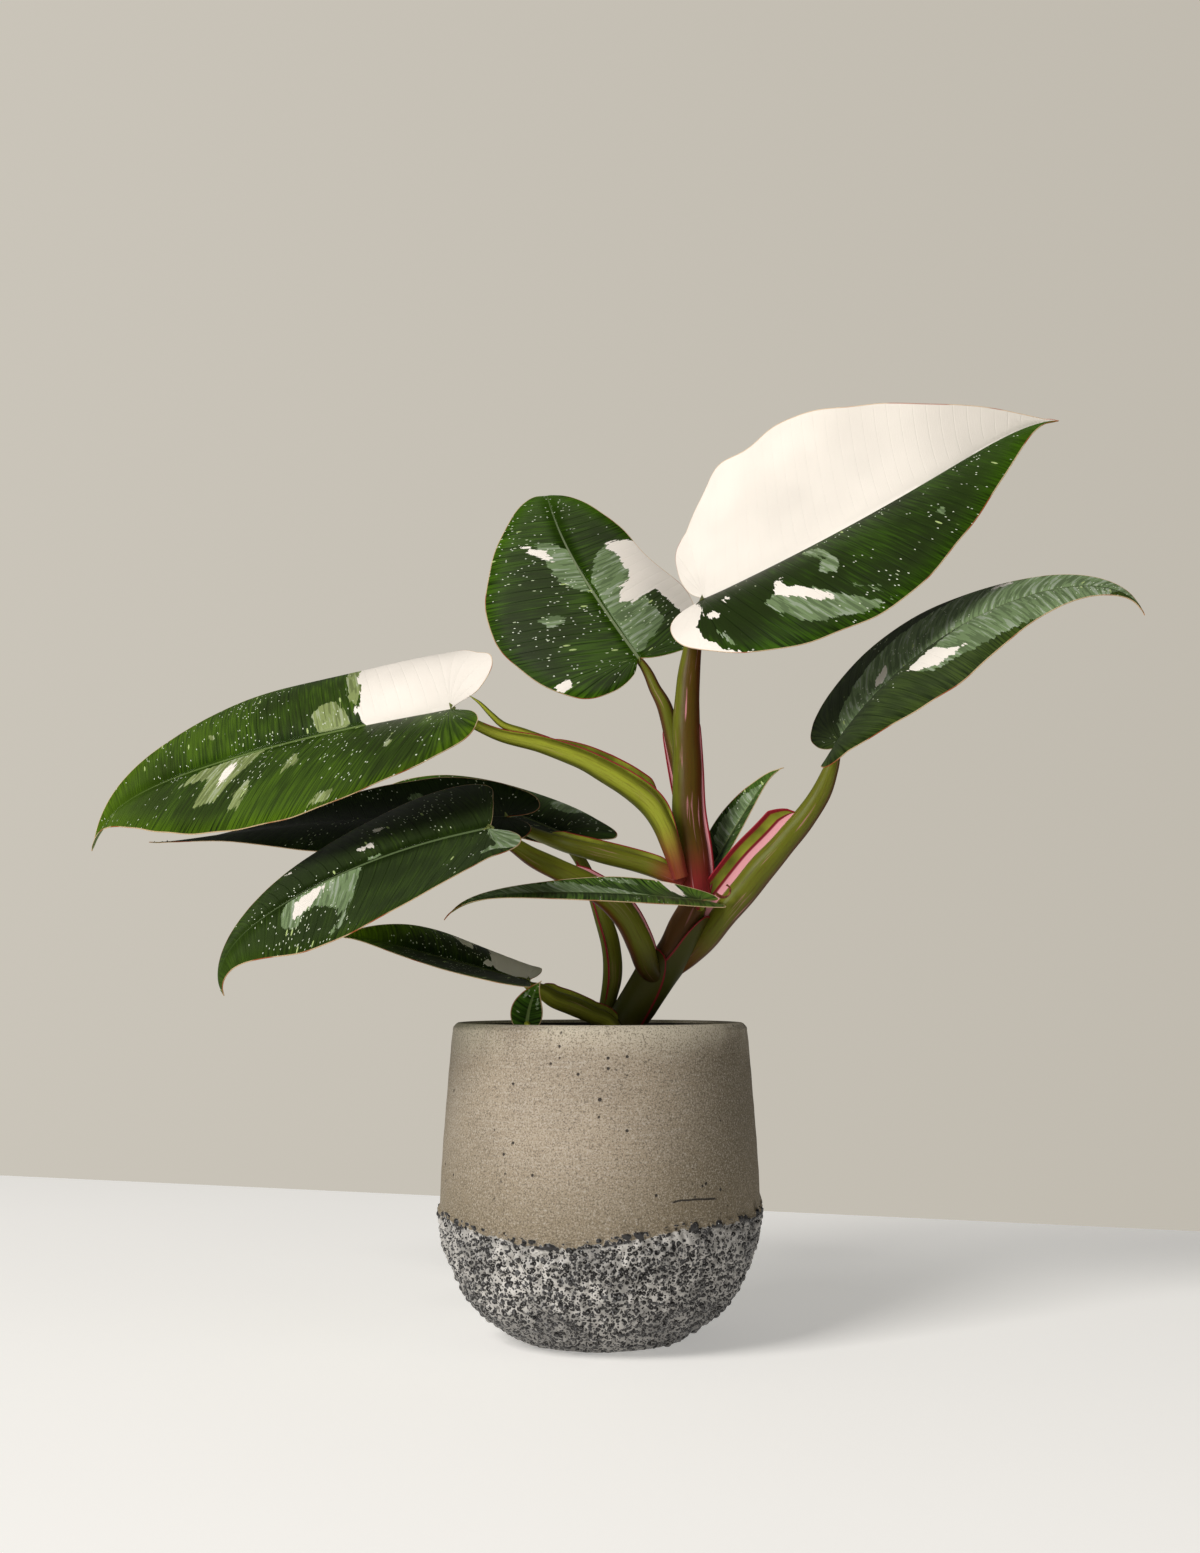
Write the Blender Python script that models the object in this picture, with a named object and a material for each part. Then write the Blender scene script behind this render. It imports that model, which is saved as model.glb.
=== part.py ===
"""A variegated philodendron growing in a round stoneware pot.

Metres, +Z up. The origin is at the middle of the pot's foot, on the surface it stands on.
The plant's leaves spread along X, and its front faces -Y.
"""

import math
import typing

import bmesh
import bpy
import numpy as np

MM = 0.001

# Driving dimensions of the pot, in millimetres: (radius, height) up the outside, over the
# rounded rim and down the inside to the middle of the floor.
POT_FOOT_RADIUS = 31
POT_OUTSIDE = [
    (POT_FOOT_RADIUS, 0), (37.4, 1.6), (43, 5.4), (54.3, 12.9), (61.4, 20.4), (66, 27.9),
    (69.3, 35.5), (72.4, 43), (74.3, 50.5), (75, 65.6), (74, 88), (72.4, 110.7), (71, 129.5),
    (69.8, 143),
]
POT_RIM = [(69, 145.6), (67, 147), (64.8, 146.2), (63.6, 143.5)]
POT_INSIDE = [
    (63.4, 131), (64.8, 110), (66.6, 86), (67.2, 64), (65.2, 48), (58, 32), (46, 20), (28, 13),
    (0, 12),
]
POT_SIDES = 40

# The potting mix fills the pot to this height, a finger's width under the rim.
MIX_HEIGHT = 132
MIX_RINGS = [52, 38, 24, 10, 0]
MIX_CROWN = 2.5  # how much higher it is in the middle
MIX_LUMP = 0.9  # height of its lumps
MIX_LUMP_LENGTHS = (20, 23, 37)  # the lumps' wavelengths: along X, then the two along Y and X
MIX_RIM = 1  # width of the level ring at the wall

GAP = 0.3  # left between pieces that touch
WALL_GAP = 0.5  # between the mix and the pot, so that flat facets never meet
STEM_SIDES = 10
STEM_RINGS = 14

# Half of a leaf blade's outline, from tip to leaf stalk, as shares of the midrib's length and of
# the half's width. A lobe's points lie behind the stalk by shares of that lobe's own length.
DRIP_TIP = [(1.0, 0.0), (1.0, 0.015)]
BLADE_SIDE = [
    (0.985, 0.035), (0.93, 0.13), (0.80, 0.36), (0.62, 0.68), (0.42, 0.93), (0.24, 1.0),
    (0.08, 0.92),
]
BLADE_LOBE = [(0.6, 0.70), (1.0, 0.42), (0.7, 0.16), (0.0, 0.0)]
BLADE_STATIONS = 20
BLADE_COLUMNS = 3
BLADE_THICKNESS = 0.8
BLADE_COLUMN_SPREAD = 1.4  # above 1, the columns crowd towards the midrib
BLADE_FLATTEST = 1e-4  # radians of curl for each millimetre: a flat half is given this much
VEIN_LEAN = 0.35  # how far the side veins lean towards the tip
DRIP_NECK = 0.005  # how far the drip tip's second point moves back, as a share of the length
MIDRIB_STEPS = 120
HOOK_POWER = 10  # the higher, the closer to the tip the hook's bend stays
WELD = 2e-5  # metres: blade points closer than this are one
SEAM = 1e-6  # metres: likewise for turned shapes, where the spin closes


class Leaf(typing.NamedTuple):
    """One leaf blade's growth, in millimetres and degrees."""

    base: tuple  # where the stalk meets the blade
    length: float  # of the midrib
    widths: tuple  # of the left and the right half, across the leaf
    lobes: tuple  # how far the left and the right lobe reach back, as shares of the length
    drip: float  # the drip tip's share of the length
    heading: tuple  # its direction from above, anticlockwise from +X: (at the stalk, change to the tip)
    pitch: tuple  # rise of the midrib: (at the stalk, change to the tip)
    hook: float  # extra pitch right at the tip
    roll: tuple  # turn about the midrib: (at the stalk, change to the tip)
    fold: tuple  # how far the left and the right half rise from flat at the stalk
    unfold: tuple  # how much each half's fold changes towards the tip
    curl: tuple  # bend of the left and the right half between midrib and margin


LEAVES = {
    "top": Leaf(
        base=(51, 6, 353), length=195, widths=(72, 69), lobes=(0.05, 0.09), drip=0.03,
        heading=(-16, 22), pitch=(22, 14), hook=-33, roll=(40, 24),
        fold=(8, 21), unfold=(34, 3), curl=(14, -56),
    ),
    "round": Leaf(
        base=(19, 14, 325), length=148, widths=(57, 53), lobes=(0.08, 0.03), drip=0.01,
        heading=(156, -66), pitch=(54, -7), hook=-66, roll=(-45, 21),
        fold=(11, -1), unfold=(3, -22), curl=(-38, -20),
    ),
    "left": Leaf(
        base=(-70, -30, 293), length=241, widths=(59, 57), lobes=(0.07, 0.085), drip=0.02,
        heading=(170, -40), pitch=(-8, -4), hook=-50, roll=(-44, -15),
        fold=(25, 32), unfold=(-23, -5), curl=(-38, -71),
    ),
    "right": Leaf(
        base=(115, -14, 279), length=171, widths=(51, 51), lobes=(0.05, 0.08), drip=0.04,
        heading=(-23, 7), pitch=(57, -63), hook=-72, roll=(29, 5),
        fold=(19, 31), unfold=(-28, -29), curl=(-14, -63),
    ),
    "lower_left": Leaf(
        base=(-50, -55, 235), length=156, widths=(57, 55), lobes=(0.09, 0.02), drip=0.01,
        heading=(180, -14), pitch=(-10, -30), hook=-91, roll=(-36, -9),
        fold=(13, 8), unfold=(-32, -17), curl=(7, -26),
    ),
    "dark": Leaf(
        base=(-47, 21, 247), length=181, widths=(39, 39), lobes=(0.08, 0.09), drip=0.04,
        heading=(178, -8), pitch=(2, -13), hook=11, roll=(-16, 5),
        fold=(-2, 0), unfold=(-5, -11), curl=(-30, 47),
    ),
    "back": Leaf(
        base=(-20, 46, 241), length=135, widths=(36, 37), lobes=(0.13, 0.17), drip=0.01,
        heading=(148, -5), pitch=(24, -22), hook=-30, roll=(-14, -5),
        fold=(19, 22), unfold=(0, 4), curl=(-36, -45),
    ),
    "thin": Leaf(
        base=(47, -25, 204), length=130, widths=(17, 18), lobes=(0.07, 0.10), drip=0.03,
        heading=(207, -6), pitch=(5, -11), hook=-52, roll=(-12, 0),
        fold=(1, -2), unfold=(-2, -1), curl=(-13, 39),
    ),
    "low": Leaf(
        base=(-33, -36, 167), length=88, widths=(35, 35), lobes=(0.02, 0.06), drip=0.01,
        heading=(182, 0), pitch=(14, 2), hook=-24, roll=(-17, -9),
        fold=(10, 14), unfold=(3, 14), curl=(1, -43),
    ),
    "small": Leaf(
        base=(55, 12, 222), length=60, widths=(16, 16), lobes=(0.01, 0.11), drip=0.03,
        heading=(-10, 1), pitch=(62, -9), hook=-42, roll=(41, -1),
        fold=(6, 22), unfold=(2, 3), curl=(-4, -4),
    ),
    "tiny": Leaf(
        base=(-33, -47, 147), length=21, widths=(8, 7), lobes=(0.09, 0.08), drip=0.04,
        heading=(16, -10), pitch=(85, -24), hook=-20, roll=(70, -8),
        fold=(10, 11), unfold=(2, 11), curl=(0, 0),
    ),
}

# The stem and the leaf stalks: (x, y, z, radius) along each, from the root end up. A stalk ends
# under its blade. Each gives way to those above it in this list.
STEMS = {
    "main_stem": [
        (0, 2, 117, 7.1), (7, 1, 136, 8.1), (12, 0, 146, 8.3), (19, -1, 157, 8.3),
        (27, -2, 169, 8.1), (35, -3, 181, 7.9), (40, -4, 192, 7.4), (45, -4, 203, 6.2),
    ],
    "petiole_top": [
        (46, -4, 205, 6.7), (45, -4, 214, 7.9), (44, -3, 229, 7.9), (42, -2, 248, 7.4),
        (42, 0, 268, 7), (42, 2, 292, 6.5), (43, 4, 312, 5.6), (45, 5, 327, 4.6),
        (48, 6, 342, 3.4), (50, 7, 350, 2.2),
    ],
    "petiole_left": [
        (38, -12, 215, 3.8), (34, -14, 229, 4.7), (30, -15, 240, 5.4), (24, -16, 250, 6.2),
        (14, -18, 258, 6.1), (2, -20, 265, 5.4), (-10, -22, 271, 4.7), (-28, -25, 277, 4),
        (-47, -28, 281, 3), (-63, -29, 288, 2.1),
    ],
    "petiole_round": [
        (48, 9, 215, 3.5), (45, 12, 240, 4.1), (40, 13, 264, 4.2), (36, 14, 284, 4.2),
        (32, 14, 300, 3.7), (27, 15, 310, 3), (24, 16, 317, 2.5), (21, 16, 322, 2),
    ],
    "petiole_right": [
        (36, -3, 173, 4.3), (43, -3, 179, 5.2), (51, -4, 187, 5.7), (60, -5, 199, 6.4),
        (69, -6, 210, 6.9), (77, -7, 220, 6.7), (87, -8, 231, 6), (97, -9, 243, 5.5),
        (105, -10, 255, 4.8), (110, -12, 267, 3.6), (113, -13, 276, 2.4),
    ],
    "petiole_dark": [
        (40, -8, 213, 4.1), (30, -7, 218, 4.3), (19, -5, 222, 4.3), (0, -3, 227, 4.3),
        (-15, -1, 231, 3.8), (-26, 4, 235, 3.1), (-37, 12, 240, 2.4), (-46, 20, 243.5, 1.8),
    ],
    "petiole_lower_left": [
        (26, -8, 168, 4.3), (22, -13, 174, 5.6), (19, -16, 183, 6.1), (13, -19, 195, 6.1),
        (5, -22, 204, 6.1), (-6, -26, 211, 5.6), (-20, -31, 218, 5.1), (-31, -40, 223, 4.4),
        (-41, -49, 229, 3.2), (-49, -54, 232, 2.2),
    ],
    "petiole_back": [
        (0, 6, 128, 3.8), (3, 6, 152, 3.8), (6, 8, 169, 4.6), (5, 10, 184, 4.6),
        (1, 12, 198, 4.1), (-4, 16, 213, 3.4), (-10, 27, 226, 2.9), (-18, 42, 236, 2),
    ],
    "petiole_low": [
        (13, -8, 129, 3.8), (5, -11, 146, 4), (-4, -16, 151, 4.2), (-13, -22, 155, 4.4),
        (-21, -28, 158, 4.1), (-27, -33, 162, 3.2), (-32, -35, 164, 2.2),
    ],
    "petiole_thin": [(46, -8, 204, 2.4), (47, -16, 201, 2), (47, -24, 201.3, 1.5)],
    "petiole_small": [(50, 9, 207, 2.6), (53, 13, 214, 2.2), (55, 14.5, 220, 1.5)],
    "petiole_tiny": [(-25, -46, 127, 2.3), (-29, -50, 138, 2.2), (-32, -53, 145, 1.6)],
}

# A dried scale that once sheathed the crown: a curled strip.
SCALE_MIDDLE = (58.5, -17.5, 210)
SCALE_RADIUS = 4.5
SCALE_WIDTH = 5
SCALE_THICKNESS = 0.7
SCALE_START = -60  # degrees from straight down, where its foot is
SCALE_TURN = 200  # degrees that it curls through
SCALE_TIGHTEN = 0.35  # share of the radius that its end loses
SCALE_TAPER = 0.5  # share of the width that its end loses
SCALE_STEPS = 8

GREEN = (0.035, 0.085, 0.02)
OLIVE = (0.16, 0.2, 0.05)
BROWN = (0.11, 0.07, 0.03)
STONEWARE = (0.33, 0.28, 0.22)
EARTH = (0.03, 0.02, 0.015)
DRY = (0.28, 0.1, 0.05)

LEAF_ROUGHNESS = 0.35
STEM_ROUGHNESS = 0.4
POT_ROUGHNESS = 0.7
MIX_ROUGHNESS = 0.95
DRY_ROUGHNESS = 0.8


def clear_scene():
    for old in list(bpy.data.objects):
        bpy.data.objects.remove(old)


def finish(mesh_object, colour, roughness):
    material = bpy.data.materials.new(mesh_object.name + "_finish")
    material.use_nodes = True
    shader = material.node_tree.nodes["Principled BSDF"]
    shader.inputs["Base Color"].default_value = (*colour, 1)
    shader.inputs["Roughness"].default_value = roughness
    material.diffuse_color = (*colour, 1)
    mesh_object.data.materials.append(material)


def object_from(shape, name):
    mesh = bpy.data.meshes.new(name)
    bmesh.ops.recalc_face_normals(shape, faces=shape.faces)
    shape.to_mesh(mesh)
    shape.free()
    mesh.shade_smooth()
    made = bpy.data.objects.new(name, mesh)
    bpy.context.scene.collection.objects.link(made)
    return made


def smooth_curve(points, count):
    """Points on a smooth curve through the given ones, evenly spread over its spans."""
    known = np.array(points, float)
    before, after = 2 * known[0] - known[1], 2 * known[-1] - known[-2]
    knots = np.vstack([before, known, after])
    places = np.linspace(0, len(known) - 1, count)
    span = np.minimum(places.astype(int), len(known) - 2)
    u = (places - span)[:, None]
    a, b, c, d = knots[span], knots[span + 1], knots[span + 2], knots[span + 3]
    slope = c - a
    square = 2 * a - 5 * b + 4 * c - d
    cube = 3 * b - a - 3 * c + d
    return b + (slope * u + square * u**2 + cube * u**3) / 2


def turned(name, profile, sides):
    """A solid of revolution about Z. Its profile runs from the axis or out to it, in millimetres."""
    shape = bmesh.new()
    corners = [shape.verts.new((radius * MM, 0, height * MM)) for radius, height in profile]
    edges = [shape.edges.new(pair) for pair in zip(corners, corners[1:])]
    bmesh.ops.spin(
        shape, geom=corners + edges, cent=(0, 0, 0), axis=(0, 0, 1), dvec=(0, 0, 0),
        angle=2 * math.pi, steps=sides, use_merge=False, use_duplicate=False,
    )
    bmesh.ops.remove_doubles(shape, verts=shape.verts, dist=SEAM)
    return object_from(shape, name)


def rings_along(route, count):
    """Rings of points round a route of (x, y, z, radius), with a frame that doesn't twist."""
    path = smooth_curve(route, count)
    middles, radii = path[:, :3] * MM, path[:, 3] * MM
    ways = np.gradient(middles, axis=0)
    ways /= np.linalg.norm(ways, axis=1)[:, None]
    across = np.cross(ways[0], (0, 1, 0))
    rings = []
    for middle, radius, way in zip(middles, radii, ways):
        across = across - way * across.dot(way)
        across /= np.linalg.norm(across)
        upright = np.cross(way, across)
        turns = np.arange(STEM_SIDES) * 2 * math.pi / STEM_SIDES
        spokes = np.outer(np.cos(turns), across) + np.outer(np.sin(turns), upright)
        rings.append(middle + radius * spokes)
    return rings


def tube(name, route, count=STEM_RINGS):
    """A tapering round stem with flat ends."""
    shape = bmesh.new()
    rings = [[shape.verts.new(point) for point in ring] for ring in rings_along(route, count)]
    for low, high in zip(rings, rings[1:]):
        for i in range(STEM_SIDES):
            after = (i + 1) % STEM_SIDES
            shape.faces.new((low[i], low[after], high[after], high[i]))
    shape.faces.new(rings[0][::-1])
    shape.faces.new(rings[-1])
    return object_from(shape, name)


def cut(piece, cutter):
    cutter.hide_render = True
    cutter.display_type = "WIRE"
    boolean = piece.modifiers.new("clear of " + cutter.name, "BOOLEAN")
    boolean.operation = "DIFFERENCE"
    boolean.object = cutter


def thicker(route, extra=GAP):
    """The same route with a larger radius, a little longer at its upper end."""
    grown = [(x, y, z, radius + extra) for x, y, z, radius in route]
    end, before = np.array(route[-1][:3], float), np.array(route[-2][:3], float)
    longer = end + (end - before) / np.linalg.norm(end - before) * extra
    grown[-1] = (*longer, route[-1][3] + extra)
    return grown


def reach(route):
    """The lowest and highest corners of a stem's box."""
    points = np.array(route, float)
    spread = points[:, 3:]
    return (points[:, :3] - spread).min(axis=0), (points[:, :3] + spread).max(axis=0)


def near(first, second):
    (low_a, high_a), (low_b, high_b) = reach(first), reach(second)
    return bool((low_a - GAP < high_b).all() and (low_b - GAP < high_a).all())


def build_stems():
    """The stem and the stalks. Where two would meet, the later one is cut back from the earlier."""
    stems = {name: tube(name, route) for name, route in STEMS.items()}
    cutters = {name: tube(name + "_clearance", thicker(route)) for name, route in STEMS.items()}
    names = list(STEMS)
    for later, name in enumerate(names):
        finish(stems[name], BROWN if name == "main_stem" else OLIVE, STEM_ROUGHNESS)
        cutters[name].hide_render = True
        for earlier in names[:later]:
            if near(STEMS[name], STEMS[earlier]):
                cut(stems[name], cutters[earlier])
    return cutters


def outline(leaf, lobe):
    """A margin from the tip round to the stalk: shares of the length and of the half's width."""
    neck = leaf.drip / 2 + DRIP_NECK
    tip = [(x - neck * (y > 0), y) for x, y in DRIP_TIP]
    body = [(x * (1 - leaf.drip), y) for x, y in BLADE_SIDE]
    back = [(-x * lobe, y) for x, y in BLADE_LOBE]
    curve = smooth_curve(tip + body + back, BLADE_STATIONS)
    return curve[:, 0], np.maximum(curve[:, 1], 0)


def vein_feet(leaf):
    """Where the side vein to each point of the margin leaves the midrib, alike on both halves."""
    along, out = outline(leaf, sum(leaf.lobes) / 2)
    return np.maximum(along * leaf.length - VEIN_LEAN * out * sum(leaf.widths) / 2, 0)


def midrib_frames(leaf, along):
    """For places along the midrib: the point there, and the ways forward, left and up."""
    fine = (np.arange(MIDRIB_STEPS) + 0.5) / MIDRIB_STEPS

    def way(share):
        heading = np.radians(leaf.heading[0] + leaf.heading[1] * share)
        pitch = np.radians(leaf.pitch[0] + leaf.pitch[1] * share + leaf.hook * share**HOOK_POWER)
        ahead = np.cos(pitch) * np.cos(heading)
        aside = np.cos(pitch) * np.sin(heading)
        return heading, np.stack([ahead, aside, np.sin(pitch)], -1)

    line = np.vstack([np.zeros(3), np.cumsum(way(fine)[1], axis=0) * leaf.length / MIDRIB_STEPS])
    inside = np.clip(along, 0, leaf.length)
    marks = np.linspace(0, leaf.length, MIDRIB_STEPS + 1)
    points = np.stack([np.interp(inside, marks, line[:, k]) for k in range(3)], -1)
    share = inside / leaf.length
    heading, forward = way(share)
    level_left = np.stack([-np.sin(heading), np.cos(heading), 0 * heading], -1)
    level_up = np.cross(forward, level_left)
    roll = np.radians(leaf.roll[0] + leaf.roll[1] * share)[..., None]
    left = level_left * np.cos(roll) + level_up * np.sin(roll)
    up = level_up * np.cos(roll) - level_left * np.sin(roll)
    points = points + forward * (along - inside)[..., None] + np.array(leaf.base)
    return points, forward, left, up


def bend_half(leaf, side, along, out):
    """Takes flat places on one half of the blade to where its fold and curl carry them."""
    points, _, left, up = midrib_frames(leaf, along)
    share = np.clip(along / leaf.length, 0, 1)
    fold = np.radians(leaf.fold[side] + leaf.unfold[side] * share)
    bend = math.radians(leaf.curl[side]) / leaf.widths[side]
    if abs(bend) < BLADE_FLATTEST:
        bend = BLADE_FLATTEST
    across = (np.sin(fold + bend * out) - np.sin(fold)) / bend
    rise = (np.cos(fold) - np.cos(fold + bend * out)) / bend
    sense = 1 if side == 0 else -1
    return points + sense * left * across[..., None] + up * rise[..., None]


def blade(name, leaf):
    """A leaf blade: two curved halves that share the midrib, given their thickness."""
    shape = bmesh.new()
    outward = np.linspace(0, 1, BLADE_COLUMNS + 1)[None, :]
    foot = vein_feet(leaf)
    for side in (0, 1):
        along, out = outline(leaf, leaf.lobes[side])
        along, out = along * leaf.length, out * leaf.widths[side]
        flat_x = foot[:, None] + (along - foot)[:, None] * outward**BLADE_COLUMN_SPREAD
        grid = bend_half(leaf, side, flat_x, out[:, None] * outward) * MM
        verts = [[shape.verts.new(point) for point in row] for row in grid]
        for row, after in zip(verts, verts[1:]):
            for j in range(BLADE_COLUMNS):
                corners = (row[j], row[j + 1], after[j + 1], after[j])
                shape.faces.new(corners if side == 0 else corners[::-1])
    bmesh.ops.remove_doubles(shape, verts=shape.verts, dist=WELD)
    bmesh.ops.dissolve_degenerate(shape, edges=shape.edges, dist=WELD)
    made = object_from(shape, name)
    thickness = made.modifiers.new("thickness", "SOLIDIFY")
    thickness.thickness = BLADE_THICKNESS * MM
    thickness.offset = 0
    finish(made, GREEN, LEAF_ROUGHNESS)
    return made


def build_pot():
    pot = turned("pot", [(0, 0)] + POT_OUTSIDE + POT_RIM + POT_INSIDE, POT_SIDES)
    finish(pot, STONEWARE, POT_ROUGHNESS)


def build_potting_mix(cutters):
    """The pot's filling, lumpy on top, with a hole for each stem that goes into it."""
    wall = [(max(radius - WALL_GAP, 0), height + WALL_GAP) for radius, height in reversed(POT_INSIDE)]
    side = [(radius, min(height, MIX_HEIGHT)) for radius, height in wall]
    edge_radius = side[-1][0]
    top = [(radius, MIX_HEIGHT + MIX_CROWN * (1 - radius / edge_radius)) for radius in MIX_RINGS]
    mix = turned("potting_mix", side + top, POT_SIDES)
    first, second, third = (2 * math.pi / length for length in MIX_LUMP_LENGTHS)
    for vert in mix.data.vertices:
        x, y = vert.co.x / MM, vert.co.y / MM
        if vert.co.z > MIX_HEIGHT * MM and math.hypot(x, y) < edge_radius - MIX_RIM:
            lump = math.sin(x * first + 1) + math.sin(y * second) * math.cos(x * third)
            vert.co.z += MIX_LUMP * MM * lump
    for name, route in STEMS.items():
        if reach(route)[0][2] < MIX_HEIGHT:
            cut(mix, cutters[name])
    finish(mix, EARTH, MIX_ROUGHNESS)


def build_dried_scale():
    """A strip curled about an axis along Y, narrower and tighter towards its free end."""
    shape = bmesh.new()
    x, y, z = SCALE_MIDDLE
    rows = []
    for step in range(SCALE_STEPS + 1):
        share = step / SCALE_STEPS
        turn = math.radians(SCALE_START + SCALE_TURN * share)
        radius = SCALE_RADIUS * (1 - SCALE_TIGHTEN * share)
        half = SCALE_WIDTH / 2 * (1 - SCALE_TAPER * share)
        middle_x = (x + radius * math.sin(turn)) * MM
        middle_z = (z - radius * math.cos(turn)) * MM
        ends = [(middle_x, (y + half * sign) * MM, middle_z) for sign in (-1, 1)]
        rows.append([shape.verts.new(end) for end in ends])
    for low, high in zip(rows, rows[1:]):
        shape.faces.new((low[0], low[1], high[1], high[0]))
    scale = object_from(shape, "dried_scale")
    thickness = scale.modifiers.new("thickness", "SOLIDIFY")
    thickness.thickness = SCALE_THICKNESS * MM
    thickness.offset = 0
    finish(scale, DRY, DRY_ROUGHNESS)


def main():
    clear_scene()
    build_pot()
    cutters = build_stems()
    build_potting_mix(cutters)
    for name, leaf in LEAVES.items():
        blade("leaf_" + name, leaf)
    build_dried_scale()


main()
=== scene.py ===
"""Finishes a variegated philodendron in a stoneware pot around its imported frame.

Run as a script, it grows every leaf, stalk and stem, throws and glazes the pot, fills it with
potting mix and sets a plain studio. Each step is also an operator in the 3D view's sidebar.
"""

import math
from typing import NamedTuple

import bpy
import numpy as np
from bpy.props import FloatProperty, FloatVectorProperty, IntProperty, PointerProperty
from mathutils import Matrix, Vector
from mathutils.kdtree import KDTree


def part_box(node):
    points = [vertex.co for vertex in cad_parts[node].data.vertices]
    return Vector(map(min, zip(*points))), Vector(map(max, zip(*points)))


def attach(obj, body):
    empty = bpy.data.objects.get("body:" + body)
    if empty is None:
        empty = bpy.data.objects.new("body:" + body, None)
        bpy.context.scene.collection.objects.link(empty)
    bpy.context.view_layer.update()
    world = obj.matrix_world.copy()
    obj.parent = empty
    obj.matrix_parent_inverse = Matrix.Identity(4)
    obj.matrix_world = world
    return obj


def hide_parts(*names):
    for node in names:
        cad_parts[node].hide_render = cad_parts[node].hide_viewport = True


bl_info = {
    "name": "Potted Philodendron",
    "version": (1, 0, 0),
    "blender": (4, 5, 0),
    "location": "3D View > Sidebar > Philodendron",
    "description": "Grows a variegated philodendron in a stoneware pot",
    "category": "Add Mesh",
}

MM = 0.001
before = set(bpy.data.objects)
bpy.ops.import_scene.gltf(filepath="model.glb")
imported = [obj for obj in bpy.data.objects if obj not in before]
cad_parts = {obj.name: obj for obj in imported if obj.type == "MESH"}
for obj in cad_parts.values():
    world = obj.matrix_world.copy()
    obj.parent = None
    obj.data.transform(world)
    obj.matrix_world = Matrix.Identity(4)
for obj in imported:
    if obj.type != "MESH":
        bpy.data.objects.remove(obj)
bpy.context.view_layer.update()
POT_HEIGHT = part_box("pot")[1][2]


def paint(red, green, blue):
    """A colour picked on a 0 to 255 scale, as the linear values that shaders use."""
    shares = [channel / 255 for channel in (red, green, blue)]
    return tuple(share / 12.92 if share <= 0.04 else ((share + 0.055) / 1.055) ** 2.4 for share in shares)


def darker(colour, share):
    """The colour with this share of its light taken away."""
    return tuple(channel * (1 - share) for channel in colour)


def lighter(colour, share):
    """The colour brought this share of the way to white."""
    return tuple(channel + (1 - channel) * share for channel in colour)


# ---------------------------------------------------------------- what a user may change


def colour_property(name, description, colour):
    """A colour that a user may change."""
    return FloatVectorProperty(
        name=name, description=description, default=colour, subtype="COLOR", min=0, max=1, size=3
    )


def length_property(name, description, size, least, most):
    """A length that a user may change, given with its limits in millimetres."""
    return FloatProperty(
        name=name, description=description, default=size * MM, min=least * MM, max=most * MM, unit="LENGTH"
    )


class PHILODENDRON_PG_leaves(bpy.types.PropertyGroup):
    cream: colour_property("Cream", "Colour of the patches with no green in them", paint(255, 247, 236))
    mint: colour_property("Mint", "Colour of the half-green patches", paint(128, 150, 106))
    deep_green: colour_property("Deep green", "Darkest leaf colour", paint(22, 34, 6))
    fleck: colour_property("Fleck", "Colour of the small flecks", paint(178, 196, 128))
    margin: colour_property("Margin", "Colour of the thin edge line", paint(222, 190, 150))
    underside: colour_property("Underside", "Colour of the leaves' backs", paint(104, 124, 76))
    thickness: length_property("Thickness", "Thickness of a blade", 0.7, 0.2, 3)
    vein_spacing: length_property("Vein spacing", "Distance between side veins", 6.5, 2, 50)
    vein_depth: length_property("Vein depth", "How far side veins sink", 0.12, 0, 2)


class PHILODENDRON_PG_stalks(bpy.types.PropertyGroup):
    olive: colour_property("Olive", "Green of the stalks", paint(104, 108, 28))
    lime: colour_property("Lime", "Fresh green of young sheaths", paint(160, 166, 52))
    brown: colour_property("Brown", "Brown of the older stalks", paint(92, 62, 32))
    rust: colour_property("Rust", "Red-brown of the sunny side", paint(98, 54, 20))
    red: colour_property("Red", "Colour of the sheath's edge", paint(150, 34, 46))
    pink: colour_property("Pink", "Colour of the sheath's inner face", paint(222, 130, 140))
    sides: IntProperty(name="Sides", description="Faces round a stalk", default=36, min=8, max=96)


class PHILODENDRON_PG_pot(bpy.types.PropertyGroup):
    sand: colour_property("Sandy glaze", "Main colour of the upper glaze", paint(176, 160, 138))
    # The rim colour is partly where the glaze runs thin and partly a painted highlight.
    rim: colour_property("Rim", "Colour where the glaze runs thin on the rim", paint(208, 198, 176))
    lava_dark: colour_property("Lava, dark", "Colour of the blisters", paint(50, 48, 48))
    lava_pale: colour_property("Lava, pale", "Glaze between the blisters", paint(214, 210, 204))
    blister: length_property("Blister height", "How far blisters stand out", 1.1, 0, 4)
    glaze_line: length_property("Glaze line", "Height where the two glazes meet", 59.8, 10, 120)


class PHILODENDRON_PG_stage(bpy.types.PropertyGroup):
    table: colour_property("Table", "Colour of the floor near the pot", paint(235, 233, 229))
    wall: colour_property("Wall", "Colour of the surroundings", paint(200, 194, 182))
    key_power: FloatProperty(
        name="Key light", description="Power of the main lamp", default=112, min=0, unit="POWER"
    )
    room_light: FloatProperty(
        name="Room light", description="Strength of the light from all round", default=0.12, min=0
    )
    lens: FloatProperty(
        name="Lens", description="Focal length in millimetres", default=43.51, min=10, max=200
    )


# ---------------------------------------------------------------- shader maths

# Places of the Mix node's colour sockets, which share their names with its other sockets.
COLOUR_A, COLOUR_B, MIXED_COLOUR = 6, 7, 2


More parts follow.
